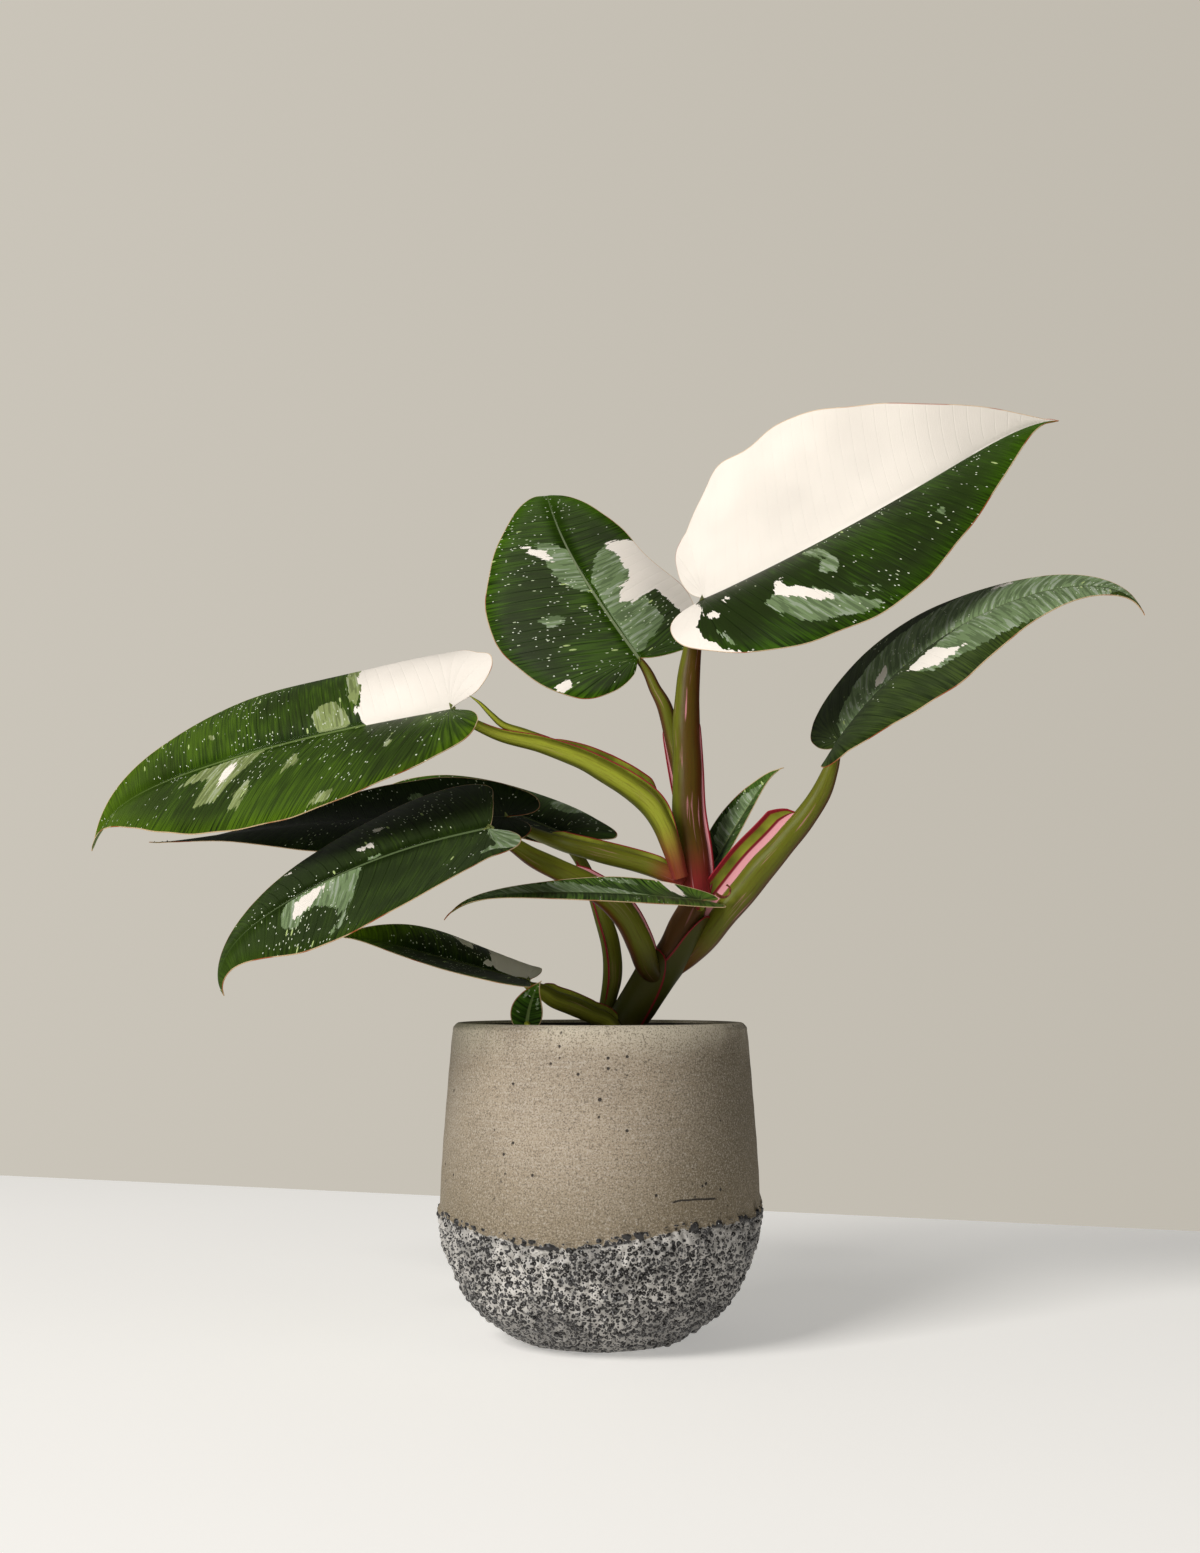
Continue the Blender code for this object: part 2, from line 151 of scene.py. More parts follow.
class Value:
    """A shader socket that can be added, multiplied and so on like a number."""

    def __init__(self, nodes, socket):
        self.nodes = nodes
        self.socket = socket

    def maths(self, operation, *others):
        inputs = dict(enumerate((self, *others)))
        return self.nodes.result("ShaderNodeMath", {"operation": operation}, inputs)

    def __add__(self, other):
        return self.maths("ADD", other)

    __radd__ = __add__

    def __sub__(self, other):
        return self.maths("SUBTRACT", other)

    def __rsub__(self, other):
        return self.nodes.result("ShaderNodeMath", {"operation": "SUBTRACT"}, {0: other, 1: self})

    def __mul__(self, other):
        return self.maths("MULTIPLY", other)

    __rmul__ = __mul__

    def __truediv__(self, other):
        return self.maths("DIVIDE", other)

    def __abs__(self):
        return self.maths("ABSOLUTE")

    def higher(self, other):
        return self.maths("MAXIMUM", other)

    def lower(self, other):
        return self.maths("MINIMUM", other)

    def ease(self, start, end):
        """0 before start, 1 after end and a smooth rise between. Start may be above end."""
        settings = {"interpolation_type": "SMOOTHSTEP", "clamp": True}
        falls = start > end
        inputs = {"Value": self, "From Min": min(start, end), "From Max": max(start, end)}
        inputs.update({"To Min": 1.0 if falls else 0.0, "To Max": 0.0 if falls else 1.0})
        return self.nodes.result("ShaderNodeMapRange", settings, inputs)


class Nodes:
    """A node tree under construction."""

    def __init__(self, tree):
        self.tree = tree

    def node(self, kind, settings=None, inputs=None):
        made = self.tree.nodes.new(kind)
        for key, value in (settings or {}).items():
            if key == "stops":
                self.set_stops(made.color_ramp, value)
            else:
                setattr(made, key, value)
        for key, value in (inputs or {}).items():
            socket = made.inputs[key]
            if isinstance(value, Value):
                self.tree.links.new(value.socket, socket)
            elif socket.type == "RGBA":
                socket.default_value = (*value, 1)
            else:
                socket.default_value = value
        return made

    def result(self, kind, settings=None, inputs=None, output=0):
        """A new node's output, ready for more maths."""
        return Value(self, self.node(kind, settings, inputs).outputs[output])

    @staticmethod
    def set_stops(ramp, stops):
        while len(ramp.elements) < len(stops):
            ramp.elements.new(0.5)
        for element, (place, colour) in zip(ramp.elements, stops):
            element.position = place
            element.color = (*colour, 1)

    def attribute(self, name):
        """A number that the mesh holds for each of its points."""
        return self.result("ShaderNodeAttribute", {"attribute_name": name}, output="Fac")

    def three(self, name):
        """Three numbers that the mesh holds together for each of its points."""
        return self.split(self.result("ShaderNodeAttribute", {"attribute_name": name}, output="Vector"))

    def place(self):
        return self.result("ShaderNodeTexCoord", output="Object")

    def vector(self, operation, first, second):
        return self.result("ShaderNodeVectorMath", {"operation": operation}, {0: first, 1: second})

    def split(self, vector):
        made = self.node("ShaderNodeSeparateXYZ", {}, {0: vector})
        return [Value(self, socket) for socket in made.outputs]

    def join(self, x, y, z=0.0):
        return self.result("ShaderNodeCombineXYZ", {}, {"X": x, "Y": y, "Z": z})

    def noise(self, vector, scale, detail=2.0, roughness=0.5):
        inputs = {"Vector": vector, "Scale": scale, "Detail": detail, "Roughness": roughness}
        return self.result("ShaderNodeTexNoise", {}, inputs, "Fac")

    def grain(self, across, along, detail=2.0, roughness=0.5):
        """Flat noise over two measures of its own."""
        return self.noise(self.join(across, along), 1.0, detail, roughness)

    def flat_cells(self, across, along):
        return self.cells(self.join(across, along), 1.0, "2D")

    def cells(self, vector, scale, dimensions="3D"):
        """Distance to the nearest scattered point, and that point's own random value."""
        settings = {"voronoi_dimensions": dimensions}
        made = self.node("ShaderNodeTexVoronoi", settings, {"Vector": vector, "Scale": scale})
        tone = self.node("ShaderNodeSeparateColor", {}, {0: Value(self, made.outputs["Color"])})
        return Value(self, made.outputs["Distance"]), Value(self, tone.outputs[0])

    def mix(self, factor, first, second):
        """One colour laid over another."""
        inputs = {"Factor": factor, COLOUR_A: first, COLOUR_B: second}
        return self.result("ShaderNodeMix", {"data_type": "RGBA"}, inputs, MIXED_COLOUR)

    def ramp(self, factor, stops):
        return self.result("ShaderNodeValToRGB", {"stops": stops}, {"Fac": factor}, "Color")


class Finish(Nodes):
    """A material under construction."""

    def __init__(self, name, **fixed):
        self.material = bpy.data.materials.new(name)
        self.material.use_nodes = True
        super().__init__(self.material.node_tree)
        self.shader = self.tree.nodes["Principled BSDF"]
        for socket, value in fixed.items():
            self.shader.inputs[socket.replace("_", " ")].default_value = value

    def set(self, socket, value):
        self.tree.links.new(value.socket, self.shader.inputs[socket])

    def bump(self, height, distance, strength):
        inputs = {"Height": height, "Distance": distance, "Strength": strength}
        self.set("Normal", self.result("ShaderNodeBump", {}, inputs, "Normal"))


# ---------------------------------------------------------------- modelling helpers


def add_primitive(kind, name, **sizes):
    """A new primitive mesh at the origin, alone in the selection."""
    bpy.ops.object.select_all(action="DESELECT")
    getattr(bpy.ops.mesh, "primitive_" + kind + "_add")(**sizes)
    made = bpy.context.object
    made.name = made.data.name = name
    return made


def read_points(piece, field):
    """A row of three numbers for each of a mesh's points."""
    rows = np.empty(len(piece.data.vertices) * 3, np.float32)
    piece.data.vertices.foreach_get(field, rows)
    return rows.reshape(-1, 3).astype(float)


def grid_sheet(name, stations, columns):
    """A grid primitive, and for each of its points a share along it and a share across it."""
    sheet = add_primitive("grid", name, x_subdivisions=stations, y_subdivisions=columns, size=1)
    flat = read_points(sheet, "co")
    along = np.round((flat[:, 0] + 0.5) * stations).astype(int)
    across = np.round((flat[:, 1] + 0.5) * columns).astype(int)
    return sheet, along, across


def set_points(piece, points):
    """Moves every point of a mesh. Places are in metres."""
    piece.data.vertices.foreach_set("co", np.asarray(points, np.float32).ravel())
    piece.data.update()


def set_attribute(piece, name, values):
    """Stores one number or three for each point, for the finish to read."""
    values = np.asarray(values, np.float32)
    kind, field = ("FLOAT", "value") if values.ndim == 1 else ("FLOAT_VECTOR", "vector")
    layer = piece.data.attributes.new(name, kind, "POINT")
    layer.data.foreach_set(field, values.ravel())


def choose(*pieces):
    """Selects these pieces alone and makes the first one active."""
    bpy.ops.object.select_all(action="DESELECT")
    for piece in pieces:
        piece.select_set(True)
    bpy.context.view_layer.objects.active = pieces[0]


def edit(piece):
    """Enters edit mode on one piece with everything in it selected."""
    choose(piece)
    bpy.ops.object.mode_set(mode="EDIT")
    bpy.ops.mesh.select_all(action="SELECT")


def close_up(piece, merge, fill=False, outwards=True):
    """Merges points this near in metres, fills holes if asked, and turns the faces out."""
    edit(piece)
    bpy.ops.mesh.remove_doubles(threshold=merge)
    if fill:
        bpy.ops.mesh.fill_holes(sides=0)
    if outwards:
        bpy.ops.mesh.normals_make_consistent(inside=False)
    bpy.ops.object.mode_set(mode="OBJECT")


def add_modifier(piece, kind, **settings):
    """Adds a modifier and applies it."""
    modifier = piece.modifiers.new(kind.lower(), kind)
    for key, value in settings.items():
        setattr(modifier, key, value)
    choose(piece)
    bpy.ops.object.modifier_apply(modifier=modifier.name)


def joined(pieces, name):
    """The pieces as one mesh, under a new name."""
    choose(*pieces)
    if len(pieces) > 1:
        bpy.ops.object.join()
    pieces[0].name = pieces[0].data.name = name
    return pieces[0]


def shade(piece, angle):
    """Smooth shading, with a crease wherever faces meet at more than this angle in degrees."""
    choose(piece)
    bpy.ops.object.shade_smooth_by_angle(angle=math.radians(angle))


def hand_over(piece, node, slot, *materials):
    """Ties a finished piece to the frame."""
    for material in materials:
        piece.data.materials.append(material)
    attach(piece, "root")
    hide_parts(node)


def curve_through(points, places):
    """A smooth curve through the given rows, read at places from 0 to 1, evenly over its spans."""
    known = np.array(points, float)
    knots = np.vstack([2 * known[0] - known[1], known, 2 * known[-1] - known[-2]])
    places = np.asarray(places) * (len(known) - 1)
    span = np.minimum(places.astype(int), len(known) - 2)
    u = (places - span)[:, None]
    a, b, c, d = knots[span], knots[span + 1], knots[span + 2], knots[span + 3]
    nearly = 2 * b + (c - a) * u + (2 * a - 5 * b + 4 * c - d) * u**2
    return 0.5 * (nearly + (3 * b - a - 3 * c + d) * u**3)


def travelled_along(points):
    """How far along a line of points each of them is."""
    return np.concatenate([[0], np.cumsum(np.linalg.norm(np.diff(points, axis=0), axis=1))])


def read_rows(places, travelled, rows):
    """Rows of numbers known along a line, read at other places along it."""
    return np.stack([np.interp(places, travelled, column) for column in rows.T], -1)


def eased(values, start, end):
    """0 before start, 1 after end and a smooth rise between."""
    share = np.clip((values - start) / (end - start), 0, 1)
    return share * share * (3 - 2 * share)


# ---------------------------------------------------------------- leaf blades

DRIP_TIP = [(1.0, 0.0), (1.0, 0.015)]
BLADE_SIDE = [
    (0.985, 0.035), (0.93, 0.13), (0.80, 0.36), (0.62, 0.68), (0.42, 0.93), (0.24, 1.0), (0.08, 0.92),
]
BLADE_LOBE = [(0.6, 0.70), (1.0, 0.42), (0.7, 0.16), (0.0, 0.0)]
BLADE_STATIONS = 168
BLADE_COLUMNS = 24
MIDRIB_STEPS = 240
HOOK_POWER = 10  # how late the tip's hook begins
LEAST_BEND = 1e-4  # radians for each millimetre, under which a half counts as flat
VEIN_LEAN = 0.35  # how far side veins lean towards the tip on their way out
VEIN_BUNCH = 1.4  # how far they bunch towards the midrib
LOBE_STRETCH = 0.45  # how close they stand in the lobes behind the stalk
HALVES_APART = 400  # keeps the pattern on one half from mirroring the other's
# Cells for each millimetre across the veins and along them, a dot's radius in cells, the share
# of cells that have one, and how pale it is.
FLECK_SIZES = [
    (0.3, 0.08, 0.17, 0.03, 0.0),
    (0.55, 0.16, 0.15, 0.035, 0.3),
    (0.9, 0.5, 0.26, 0.035, 0.55),
]
FIELD_REACH = 8.0  # millimetres over which a patch's edge is known
MARGIN_SHARE = 0.45  # the blade's thickness at its margin as a share of its usual thickness
MARGIN_REACH = 4  # millimetres over which it thins
DRY_MARGIN = paint(176, 90, 54)
UNDER_RIB = paint(150, 158, 92)


class Leaf(NamedTuple):
    """One blade's growth, in millimetres and degrees, as its solid in the frame has it.

    Values in pairs are (left half, right half) or (at the stalk, change on the way to the tip).
    Patches are outlines in shares of the length and, left of the midrib positive, of the width.
    """

    base: tuple
    length: float
    widths: tuple
    lobes: tuple  # how far the halves reach back past the stalk, as shares of the length
    drip: float  # share of the length that the pointed tip adds
    heading: tuple
    pitch: tuple
    hook: float
    roll: tuple
    fold: tuple
    unfold: tuple
    curl: tuple
    cream: tuple = ()
    mint: tuple = ()
    green: tuple = paint(44, 76, 22)
    fresh: tuple = paint(78, 118, 36)
    flecks: float = 1.0
    patch: tuple = ()  # its own colour for mint patches
    rib: tuple = paint(150, 165, 110)
    bays: tuple = ()  # (side, share of the length, half-width, change of width)


LEAVES = {
    "top": Leaf(
        base=(51, 6, 353), length=195, widths=(72, 69), lobes=(0.05, 0.09), drip=0.03,
        heading=(-16, 22), pitch=(22, 14), hook=-33, roll=(40, 24),
        fold=(8, 21), unfold=(34, 3), curl=(14, -56),
        cream=[
            [(-0.25, 0.0), (1.1, 0.0), (1.1, 1.3), (-0.25, 1.3)],
            [
                (-0.02, -0.05), (0.0, -0.33), (-0.03, -0.52), (0.0, -0.74), (0.05, -0.9),
                (0.12, -1.0), (-0.02, -1.1), (-0.2, -0.7), (-0.2, 0.0),
            ],
            [(0.0, -0.38), (0.04, -0.46), (0.03, -0.5), (0.01, -0.48)],
            [(0.05, -0.28), (0.08, -0.15), (0.07, -0.25), (0.06, -0.35)],
            [
                (0.18, -0.33), (0.2, -0.31), (0.2, -0.43), (0.25, -0.58), (0.3, -0.75),
                (0.27, -0.71), (0.22, -0.62), (0.19, -0.56), (0.17, -0.5),
            ],
        ],
        mint=[
            [
                (0.27, -0.1), (0.29, -0.07), (0.31, -0.17), (0.33, -0.43), (0.31, -0.52),
                (0.28, -0.45), (0.3, -0.32),
            ],
            [
                (0.14, -0.54), (0.17, -0.48), (0.24, -0.54), (0.29, -0.68), (0.34, -0.84),
                (0.4, -0.9), (0.31, -0.92), (0.21, -0.84), (0.15, -0.66),
            ],
            [(0.01, -0.61), (0.04, -0.68), (0.05, -0.85), (0.03, -0.77)],
            [(0.58, -0.38), (0.61, -0.37), (0.59, -0.46)],
            [(0.33, -0.68), (0.38, -0.78), (0.38, -0.83), (0.35, -0.74)],
        ],
        green=paint(28, 46, 8), fresh=paint(60, 96, 12), rib=paint(120, 140, 84),
        bays=[
            (0, 0.16, 0.06, 0.05), (0, 0.3, 0.07, -0.03), (0, 0.93, 0.05, -0.12),
            (1, 0.93, 0.05, -0.1),
        ],
    ),
    "round": Leaf(
        base=(19, 14, 325), length=148, widths=(57, 53), lobes=(0.08, 0.03), drip=0.01,
        heading=(156, -66), pitch=(54, -7), hook=-66, roll=(-45, 21),
        fold=(11, -1), unfold=(3, -22), curl=(-38, -20),
        cream=[
            [
                (0.55, -0.6), (0.54, -0.4), (0.5, -0.39), (0.45, -0.47), (0.41, -0.44),
                (0.38, -0.49), (0.34, -0.44), (0.3, -0.29), (0.24, -0.17), (0.22, -0.3),
                (0.25, -0.5), (0.26, -0.66), (0.16, -0.74), (0.06, -0.84), (0.0, -0.9),
                (0.0, -1.2), (0.55, -1.2),
            ],
            [(0.61, 0.39), (0.59, 0.31), (0.53, 0.19), (0.48, 0.17), (0.52, 0.27), (0.57, 0.36)],
            [(0.03, 0.82), (0.03, 0.7), (0.0, 0.69), (0.0, 0.82)],
        ],
        mint=[
            [
                (0.36, -0.05), (0.49, -0.27), (0.54, -0.41), (0.42, -0.51), (0.33, -0.5),
                (0.27, -0.5), (0.2, -0.47), (0.12, -0.54), (0.02, -0.14), (0.02, -0.02),
                (0.2, -0.03),
            ],
            [
                (0.61, 0.28), (0.57, 0.11), (0.53, 0.01), (0.44, 0.01), (0.3, 0.02), (0.34, 0.13),
                (0.4, 0.24), (0.5, 0.24),
            ],
            [(0.27, 0.58), (0.26, 0.42), (0.23, 0.38), (0.23, 0.52)],
        ],
        green=paint(34, 56, 8), fresh=paint(68, 104, 14), rib=paint(178, 190, 150), flecks=1.5,
        bays=[
            (1, 0.45, 0.13, -0.13), (1, 0.82, 0.09, 0.10), (0, 0.97, 0.03, -0.2),
            (0, 0.85, 0.08, 0.06),
        ],
    ),
    "left": Leaf(
        base=(-70, -30, 293), length=241, widths=(59, 57), lobes=(0.07, 0.085), drip=0.02,
        heading=(170, -40), pitch=(-8, -4), hook=-50, roll=(-44, -15),
        fold=(25, 32), unfold=(-23, -5), curl=(-38, -71),
        cream=[
            [
                (0.25, -1.2), (0.22, -0.7), (0.19, -0.3), (0.2, -0.16), (0.18, 0.0), (-0.2, 0.0),
                (-0.2, -1.2),
            ],
            [(0.48, 0.42), (0.49, 0.2), (0.47, 0.06), (0.46, 0.25)],
        ],
        mint=[
            [(0.27, -0.9), (0.22, -0.95), (0.19, -0.38), (0.2, -0.2), (0.22, -0.3), (0.23, -0.5)],
            [
                (0.3, -0.2), (0.28, -0.3), (0.24, -0.3), (0.22, -0.12), (0.21, -0.02),
                (0.28, -0.02),
            ],
            [
                (0.64, 0.28), (0.57, 0.06), (0.4, 0.01), (0.42, 0.2), (0.45, 0.42), (0.48, 0.56),
                (0.53, 0.55), (0.52, 0.25), (0.6, 0.2),
            ],
            [(0.43, 0.74), (0.43, 0.56), (0.4, 0.42), (0.39, 0.56), (0.41, 0.72)],
            [(0.24, 0.96), (0.22, 0.84), (0.18, 0.86), (0.2, 0.95)],
            [(0.32, 0.48), (0.31, 0.2), (0.29, 0.4)],
            [(0.11, 0.54), (0.1, 0.32), (0.095, 0.5)],
            [(0.57, -0.31), (0.54, -0.29), (0.55, -0.24)],
        ],
        green=paint(46, 72, 10), fresh=paint(84, 114, 18), rib=paint(142, 164, 96),
        patch=paint(150, 164, 104), flecks=1.3,
        bays=[(1, 0.03, 0.06, 0.1), (1, 0.22, 0.06, -0.05), (1, -0.05, 0.025, -0.1)],
    ),
    "right": Leaf(
        base=(115, -14, 279), length=171, widths=(51, 51), lobes=(0.05, 0.08), drip=0.04,
        heading=(-23, 7), pitch=(57, -63), hook=-72, roll=(29, 5),
        fold=(19, 31), unfold=(-28, -29), curl=(-14, -63),
        cream=[
            [
                (0.27, -0.42), (0.32, -0.34), (0.36, -0.28), (0.4, -0.44), (0.45, -0.56),
                (0.41, -0.6), (0.35, -0.63), (0.31, -0.55),
            ],
            [(0.17, 0.13), (0.2, 0.26), (0.24, 0.3), (0.23, 0.16), (0.19, 0.08)],
            [(0.58, 0.66), (0.63, 0.6), (0.63, 0.5), (0.57, 0.56)],
        ],
        mint=[
            [
                (0.0, 0.02), (0.05, 0.34), (0.16, 0.56), (0.3, 0.7), (0.5, 0.8), (0.7, 0.86),
                (0.92, 0.8), (0.98, 0.0),
            ],
            [
                (0.4, -0.2), (0.48, -0.04), (0.9, -0.02), (0.86, -0.35), (0.72, -0.5),
                (0.56, -0.6), (0.45, -0.66), (0.34, -0.68), (0.3, -0.55),
            ],
        ],
        green=paint(40, 54, 24), fresh=paint(66, 84, 30), rib=paint(150, 166, 120), flecks=0.6,
    ),
    "lower_left": Leaf(
        base=(-50, -55, 235), length=156, widths=(57, 55), lobes=(0.09, 0.02), drip=0.01,
        heading=(180, -14), pitch=(-10, -30), hook=-91, roll=(-36, -9),
        fold=(13, 8), unfold=(-32, -17), curl=(7, -26),
        cream=[
            [(0.62, 0.24), (0.61, 0.08), (0.55, 0.03), (0.5, 0.03), (0.54, 0.17), (0.58, 0.25)],
            [(0.4, -0.26), (0.36, -0.29), (0.33, -0.26), (0.35, -0.19)],
            [(0.35, -0.56), (0.3, -0.48), (0.34, -0.46)],
            [(0.64, -0.57), (0.61, -0.54), (0.62, -0.49)],
        ],
        mint=[
            [
                (0.67, 0.22), (0.64, 0.02), (0.5, 0.01), (0.38, 0.02), (0.41, 0.24), (0.44, 0.5),
                (0.46, 0.7), (0.51, 0.74), (0.47, 0.55), (0.48, 0.4), (0.54, 0.25), (0.58, 0.26),
                (0.63, 0.38),
            ],
            [(0.01, 0.02), (-0.02, 0.42), (0.02, 0.6), (-0.3, 0.6), (-0.3, 0.0)],
            [(0.37, -0.02), (0.31, -0.02), (0.36, -0.07)],
        ],
        green=paint(32, 46, 14), fresh=paint(56, 78, 20), rib=paint(132, 152, 104), flecks=0.8,
    ),
    "dark": Leaf(
        base=(-47, 21, 247), length=181, widths=(39, 39), lobes=(0.08, 0.09), drip=0.04,
        heading=(178, -8), pitch=(2, -13), hook=11, roll=(-16, 5),
        fold=(-2, 0), unfold=(-5, -11), curl=(-30, 47),
        mint=[
            [(0.28, -0.74), (0.25, -0.74), (0.23, -0.62), (0.25, -0.52), (0.28, -0.62)],
        ],
        green=paint(30, 42, 18), fresh=paint(44, 60, 22), rib=paint(100, 116, 84), flecks=0.4,
    ),
    "back": Leaf(
        base=(-20, 46, 241), length=135, widths=(36, 37), lobes=(0.13, 0.17), drip=0.01,
        heading=(148, -5), pitch=(24, -22), hook=-30, roll=(-14, -5),
        fold=(19, 22), unfold=(0, 4), curl=(-36, -45),
        mint=[
            [(0.22, -1.1), (0.06, -0.9), (0.08, -0.5), (0.14, -0.45), (0.18, -0.6)],
        ],
        green=paint(36, 58, 12), fresh=paint(62, 92, 18), flecks=1.4,
    ),
    "thin": Leaf(
        base=(47, -25, 204), length=130, widths=(17, 18), lobes=(0.07, 0.10), drip=0.03,
        heading=(207, -6), pitch=(5, -11), hook=-52, roll=(-12, 0),
        fold=(1, -2), unfold=(-2, -1), curl=(-13, 39),
        cream=[
            [(0.15, -1.0), (0.06, -1.0), (0.03, -0.6), (0.04, -0.1), (0.08, -0.4), (0.11, -0.8)],
        ],
        mint=[
            [(0.2, -0.02), (0.3, -0.4), (0.5, -0.7), (0.8, -0.5), (0.9, -0.02)],
            [(0.2, -0.7), (0.3, -0.75), (0.36, -1.0), (0.22, -0.9)],
        ],
        green=paint(38, 60, 32), fresh=paint(96, 130, 48), flecks=0.5,
    ),
    "low": Leaf(
        base=(-33, -36, 167), length=88, widths=(35, 35), lobes=(0.02, 0.06), drip=0.01,
        heading=(182, 0), pitch=(14, 2), hook=-24, roll=(-17, -9),
        fold=(10, 14), unfold=(3, 14), curl=(1, -43),
        cream=[
            [
                (0.24, -0.12), (0.22, -0.4), (0.3, -1.2), (-0.2, -1.2), (-0.2, 0.0), (0.06, 0.0),
                (0.15, -0.04),
            ],
            [(0.47, -0.8), (0.4, -0.8), (0.33, -0.85), (0.32, -0.45), (0.38, -0.5)],
        ],
        green=paint(40, 60, 12), fresh=paint(96, 126, 18), rib=paint(120, 130, 80), flecks=1.3,
    ),
    "small": Leaf(
        base=(55, 12, 222), length=60, widths=(16, 16), lobes=(0.02, 0.11), drip=0.03,
        heading=(-10, 1), pitch=(62, -9), hook=-42, roll=(41, -1),
        fold=(6, 22), unfold=(2, 3), curl=(-4, -4),
        mint=[
            [(0.1, 0.02), (0.8, 0.02), (0.6, 0.5), (0.35, 0.75), (0.2, 0.6)],
        ],
        green=paint(50, 72, 34), fresh=paint(78, 108, 40), flecks=0.3,
    ),
    "tiny": Leaf(
        base=(-33, -47, 147), length=21, widths=(8, 7), lobes=(0.09, 0.08), drip=0.04,
        heading=(16, -10), pitch=(85, -24), hook=-20, roll=(70, -8),
        fold=(10, 11), unfold=(2, 11), curl=(0, 0),
        mint=[
            [(0.5, 0.5), (0.6, 0.3), (0.75, 0.25), (0.7, 0.4)],
            [(0.3, -0.7), (0.4, -0.4), (0.6, -0.4), (0.5, -0.6)],
        ],
        green=paint(44, 78, 22), fresh=paint(82, 122, 34), rib=paint(150, 170, 104), flecks=0.6,
    ),
}


def outline(leaf, lobe, places):
    """A margin from the tip round to the stalk: shares of the length and of the half's width."""
    tip = [(x - (leaf.drip / 2 + 0.005) * (y > 0), y) for x, y in DRIP_TIP]
    body = [(x * (1 - leaf.drip), y) for x, y in BLADE_SIDE]
    back = [(-x * lobe, y) for x, y in BLADE_LOBE]
    curve = curve_through(tip + body + back, places)
    return curve[:, 0], np.maximum(curve[:, 1], 0)


def midrib_frames(leaf, along):
    """For places along the midrib: the point there, and the ways forward, left and up."""

    def way(share):
        heading = np.radians(leaf.heading[0] + leaf.heading[1] * share)
        pitch = np.radians(leaf.pitch[0] + leaf.pitch[1] * share + leaf.hook * share**HOOK_POWER)
        level = np.cos(pitch)
        ahead = [level * np.cos(heading), level * np.sin(heading), np.sin(pitch)]
        return heading, np.stack(ahead, -1)

    middles = (np.arange(MIDRIB_STEPS) + 0.5) / MIDRIB_STEPS
    steps = np.cumsum(way(middles)[1], axis=0) * leaf.length / MIDRIB_STEPS
    line = np.vstack([np.zeros(3), steps])
    inside = np.clip(along, 0, leaf.length)
    marks = np.linspace(0, leaf.length, MIDRIB_STEPS + 1)
    points = read_rows(inside, marks, line)
    share = inside / leaf.length
    heading, forward = way(share)
    level_left = np.stack([-np.sin(heading), np.cos(heading), 0 * heading], -1)
    level_up = np.cross(forward, level_left)
    roll = np.radians(leaf.roll[0] + leaf.roll[1] * share)[..., None]
    left = level_left * np.cos(roll) + level_up * np.sin(roll)
    up = level_up * np.cos(roll) - level_left * np.sin(roll)
    points = points + forward * (along - inside)[..., None] + np.array(leaf.base)
    return points, forward, left, up


def bend_half(leaf, side, along, out):
    """Takes flat places on one half of the blade to where its fold and curl carry them."""
    points, _, left, up = midrib_frames(leaf, along)
    share = np.clip(along / leaf.length, 0, 1)
    fold = np.radians(leaf.fold[side] + leaf.unfold[side] * share)
    bend = math.radians(leaf.curl[side]) / leaf.widths[side]
    if abs(bend) < LEAST_BEND:
        bend = LEAST_BEND
    across = (np.sin(fold + bend * out) - np.sin(fold)) / bend
    rise = (np.cos(fold) - np.cos(fold + bend * out)) / bend
    sense = 1 if side == 0 else -1
    return points + sense * left * across[..., None] + up * rise[..., None]


def inside_by(x, y, corners):
    """How many millimetres each point lies inside an outline. Outside it is negative."""
    corners = np.array(corners, float)
    inside = np.zeros(x.shape, bool)
    nearest = np.full(x.shape, 1e9)
    for (ax, ay), (bx, by) in zip(corners, np.roll(corners, -1, axis=0)):
        crosses = (ay > y) != (by > y)
        rise = by - ay if by != ay else 1e-9
        inside ^= crosses & (x < (bx - ax) * (y - ay) / rise + ax)
        length = max((bx - ax) ** 2 + (by - ay) ** 2, 1e-9)
        share = np.clip(((x - ax) * (bx - ax) + (y - ay) * (by - ay)) / length, 0, 1)
        away = np.hypot(x - ax - share * (bx - ax), y - ay - share * (by - ay))
        nearest = np.minimum(nearest, away)
    return np.where(inside, nearest, -nearest)


def patch_field(leaf, x, y, patches):
    """Millimetres inside the nearest patch, held to FIELD_REACH either way."""
    field = np.full(x.shape, -FIELD_REACH)
    for patch in patches:
        side = 0 if sum(corner[1] for corner in patch) > 0 else 1
        width = leaf.widths[side]
        corners = [(cx * leaf.length, cy * width) for cx, cy in patch]
        own_half = y >= -1e-6 if side == 0 else y <= 1e-6
        depth = np.where(own_half, inside_by(x, y, corners), -FIELD_REACH)
        field = np.maximum(field, depth)
    return np.clip(field, -FIELD_REACH, FIELD_REACH)


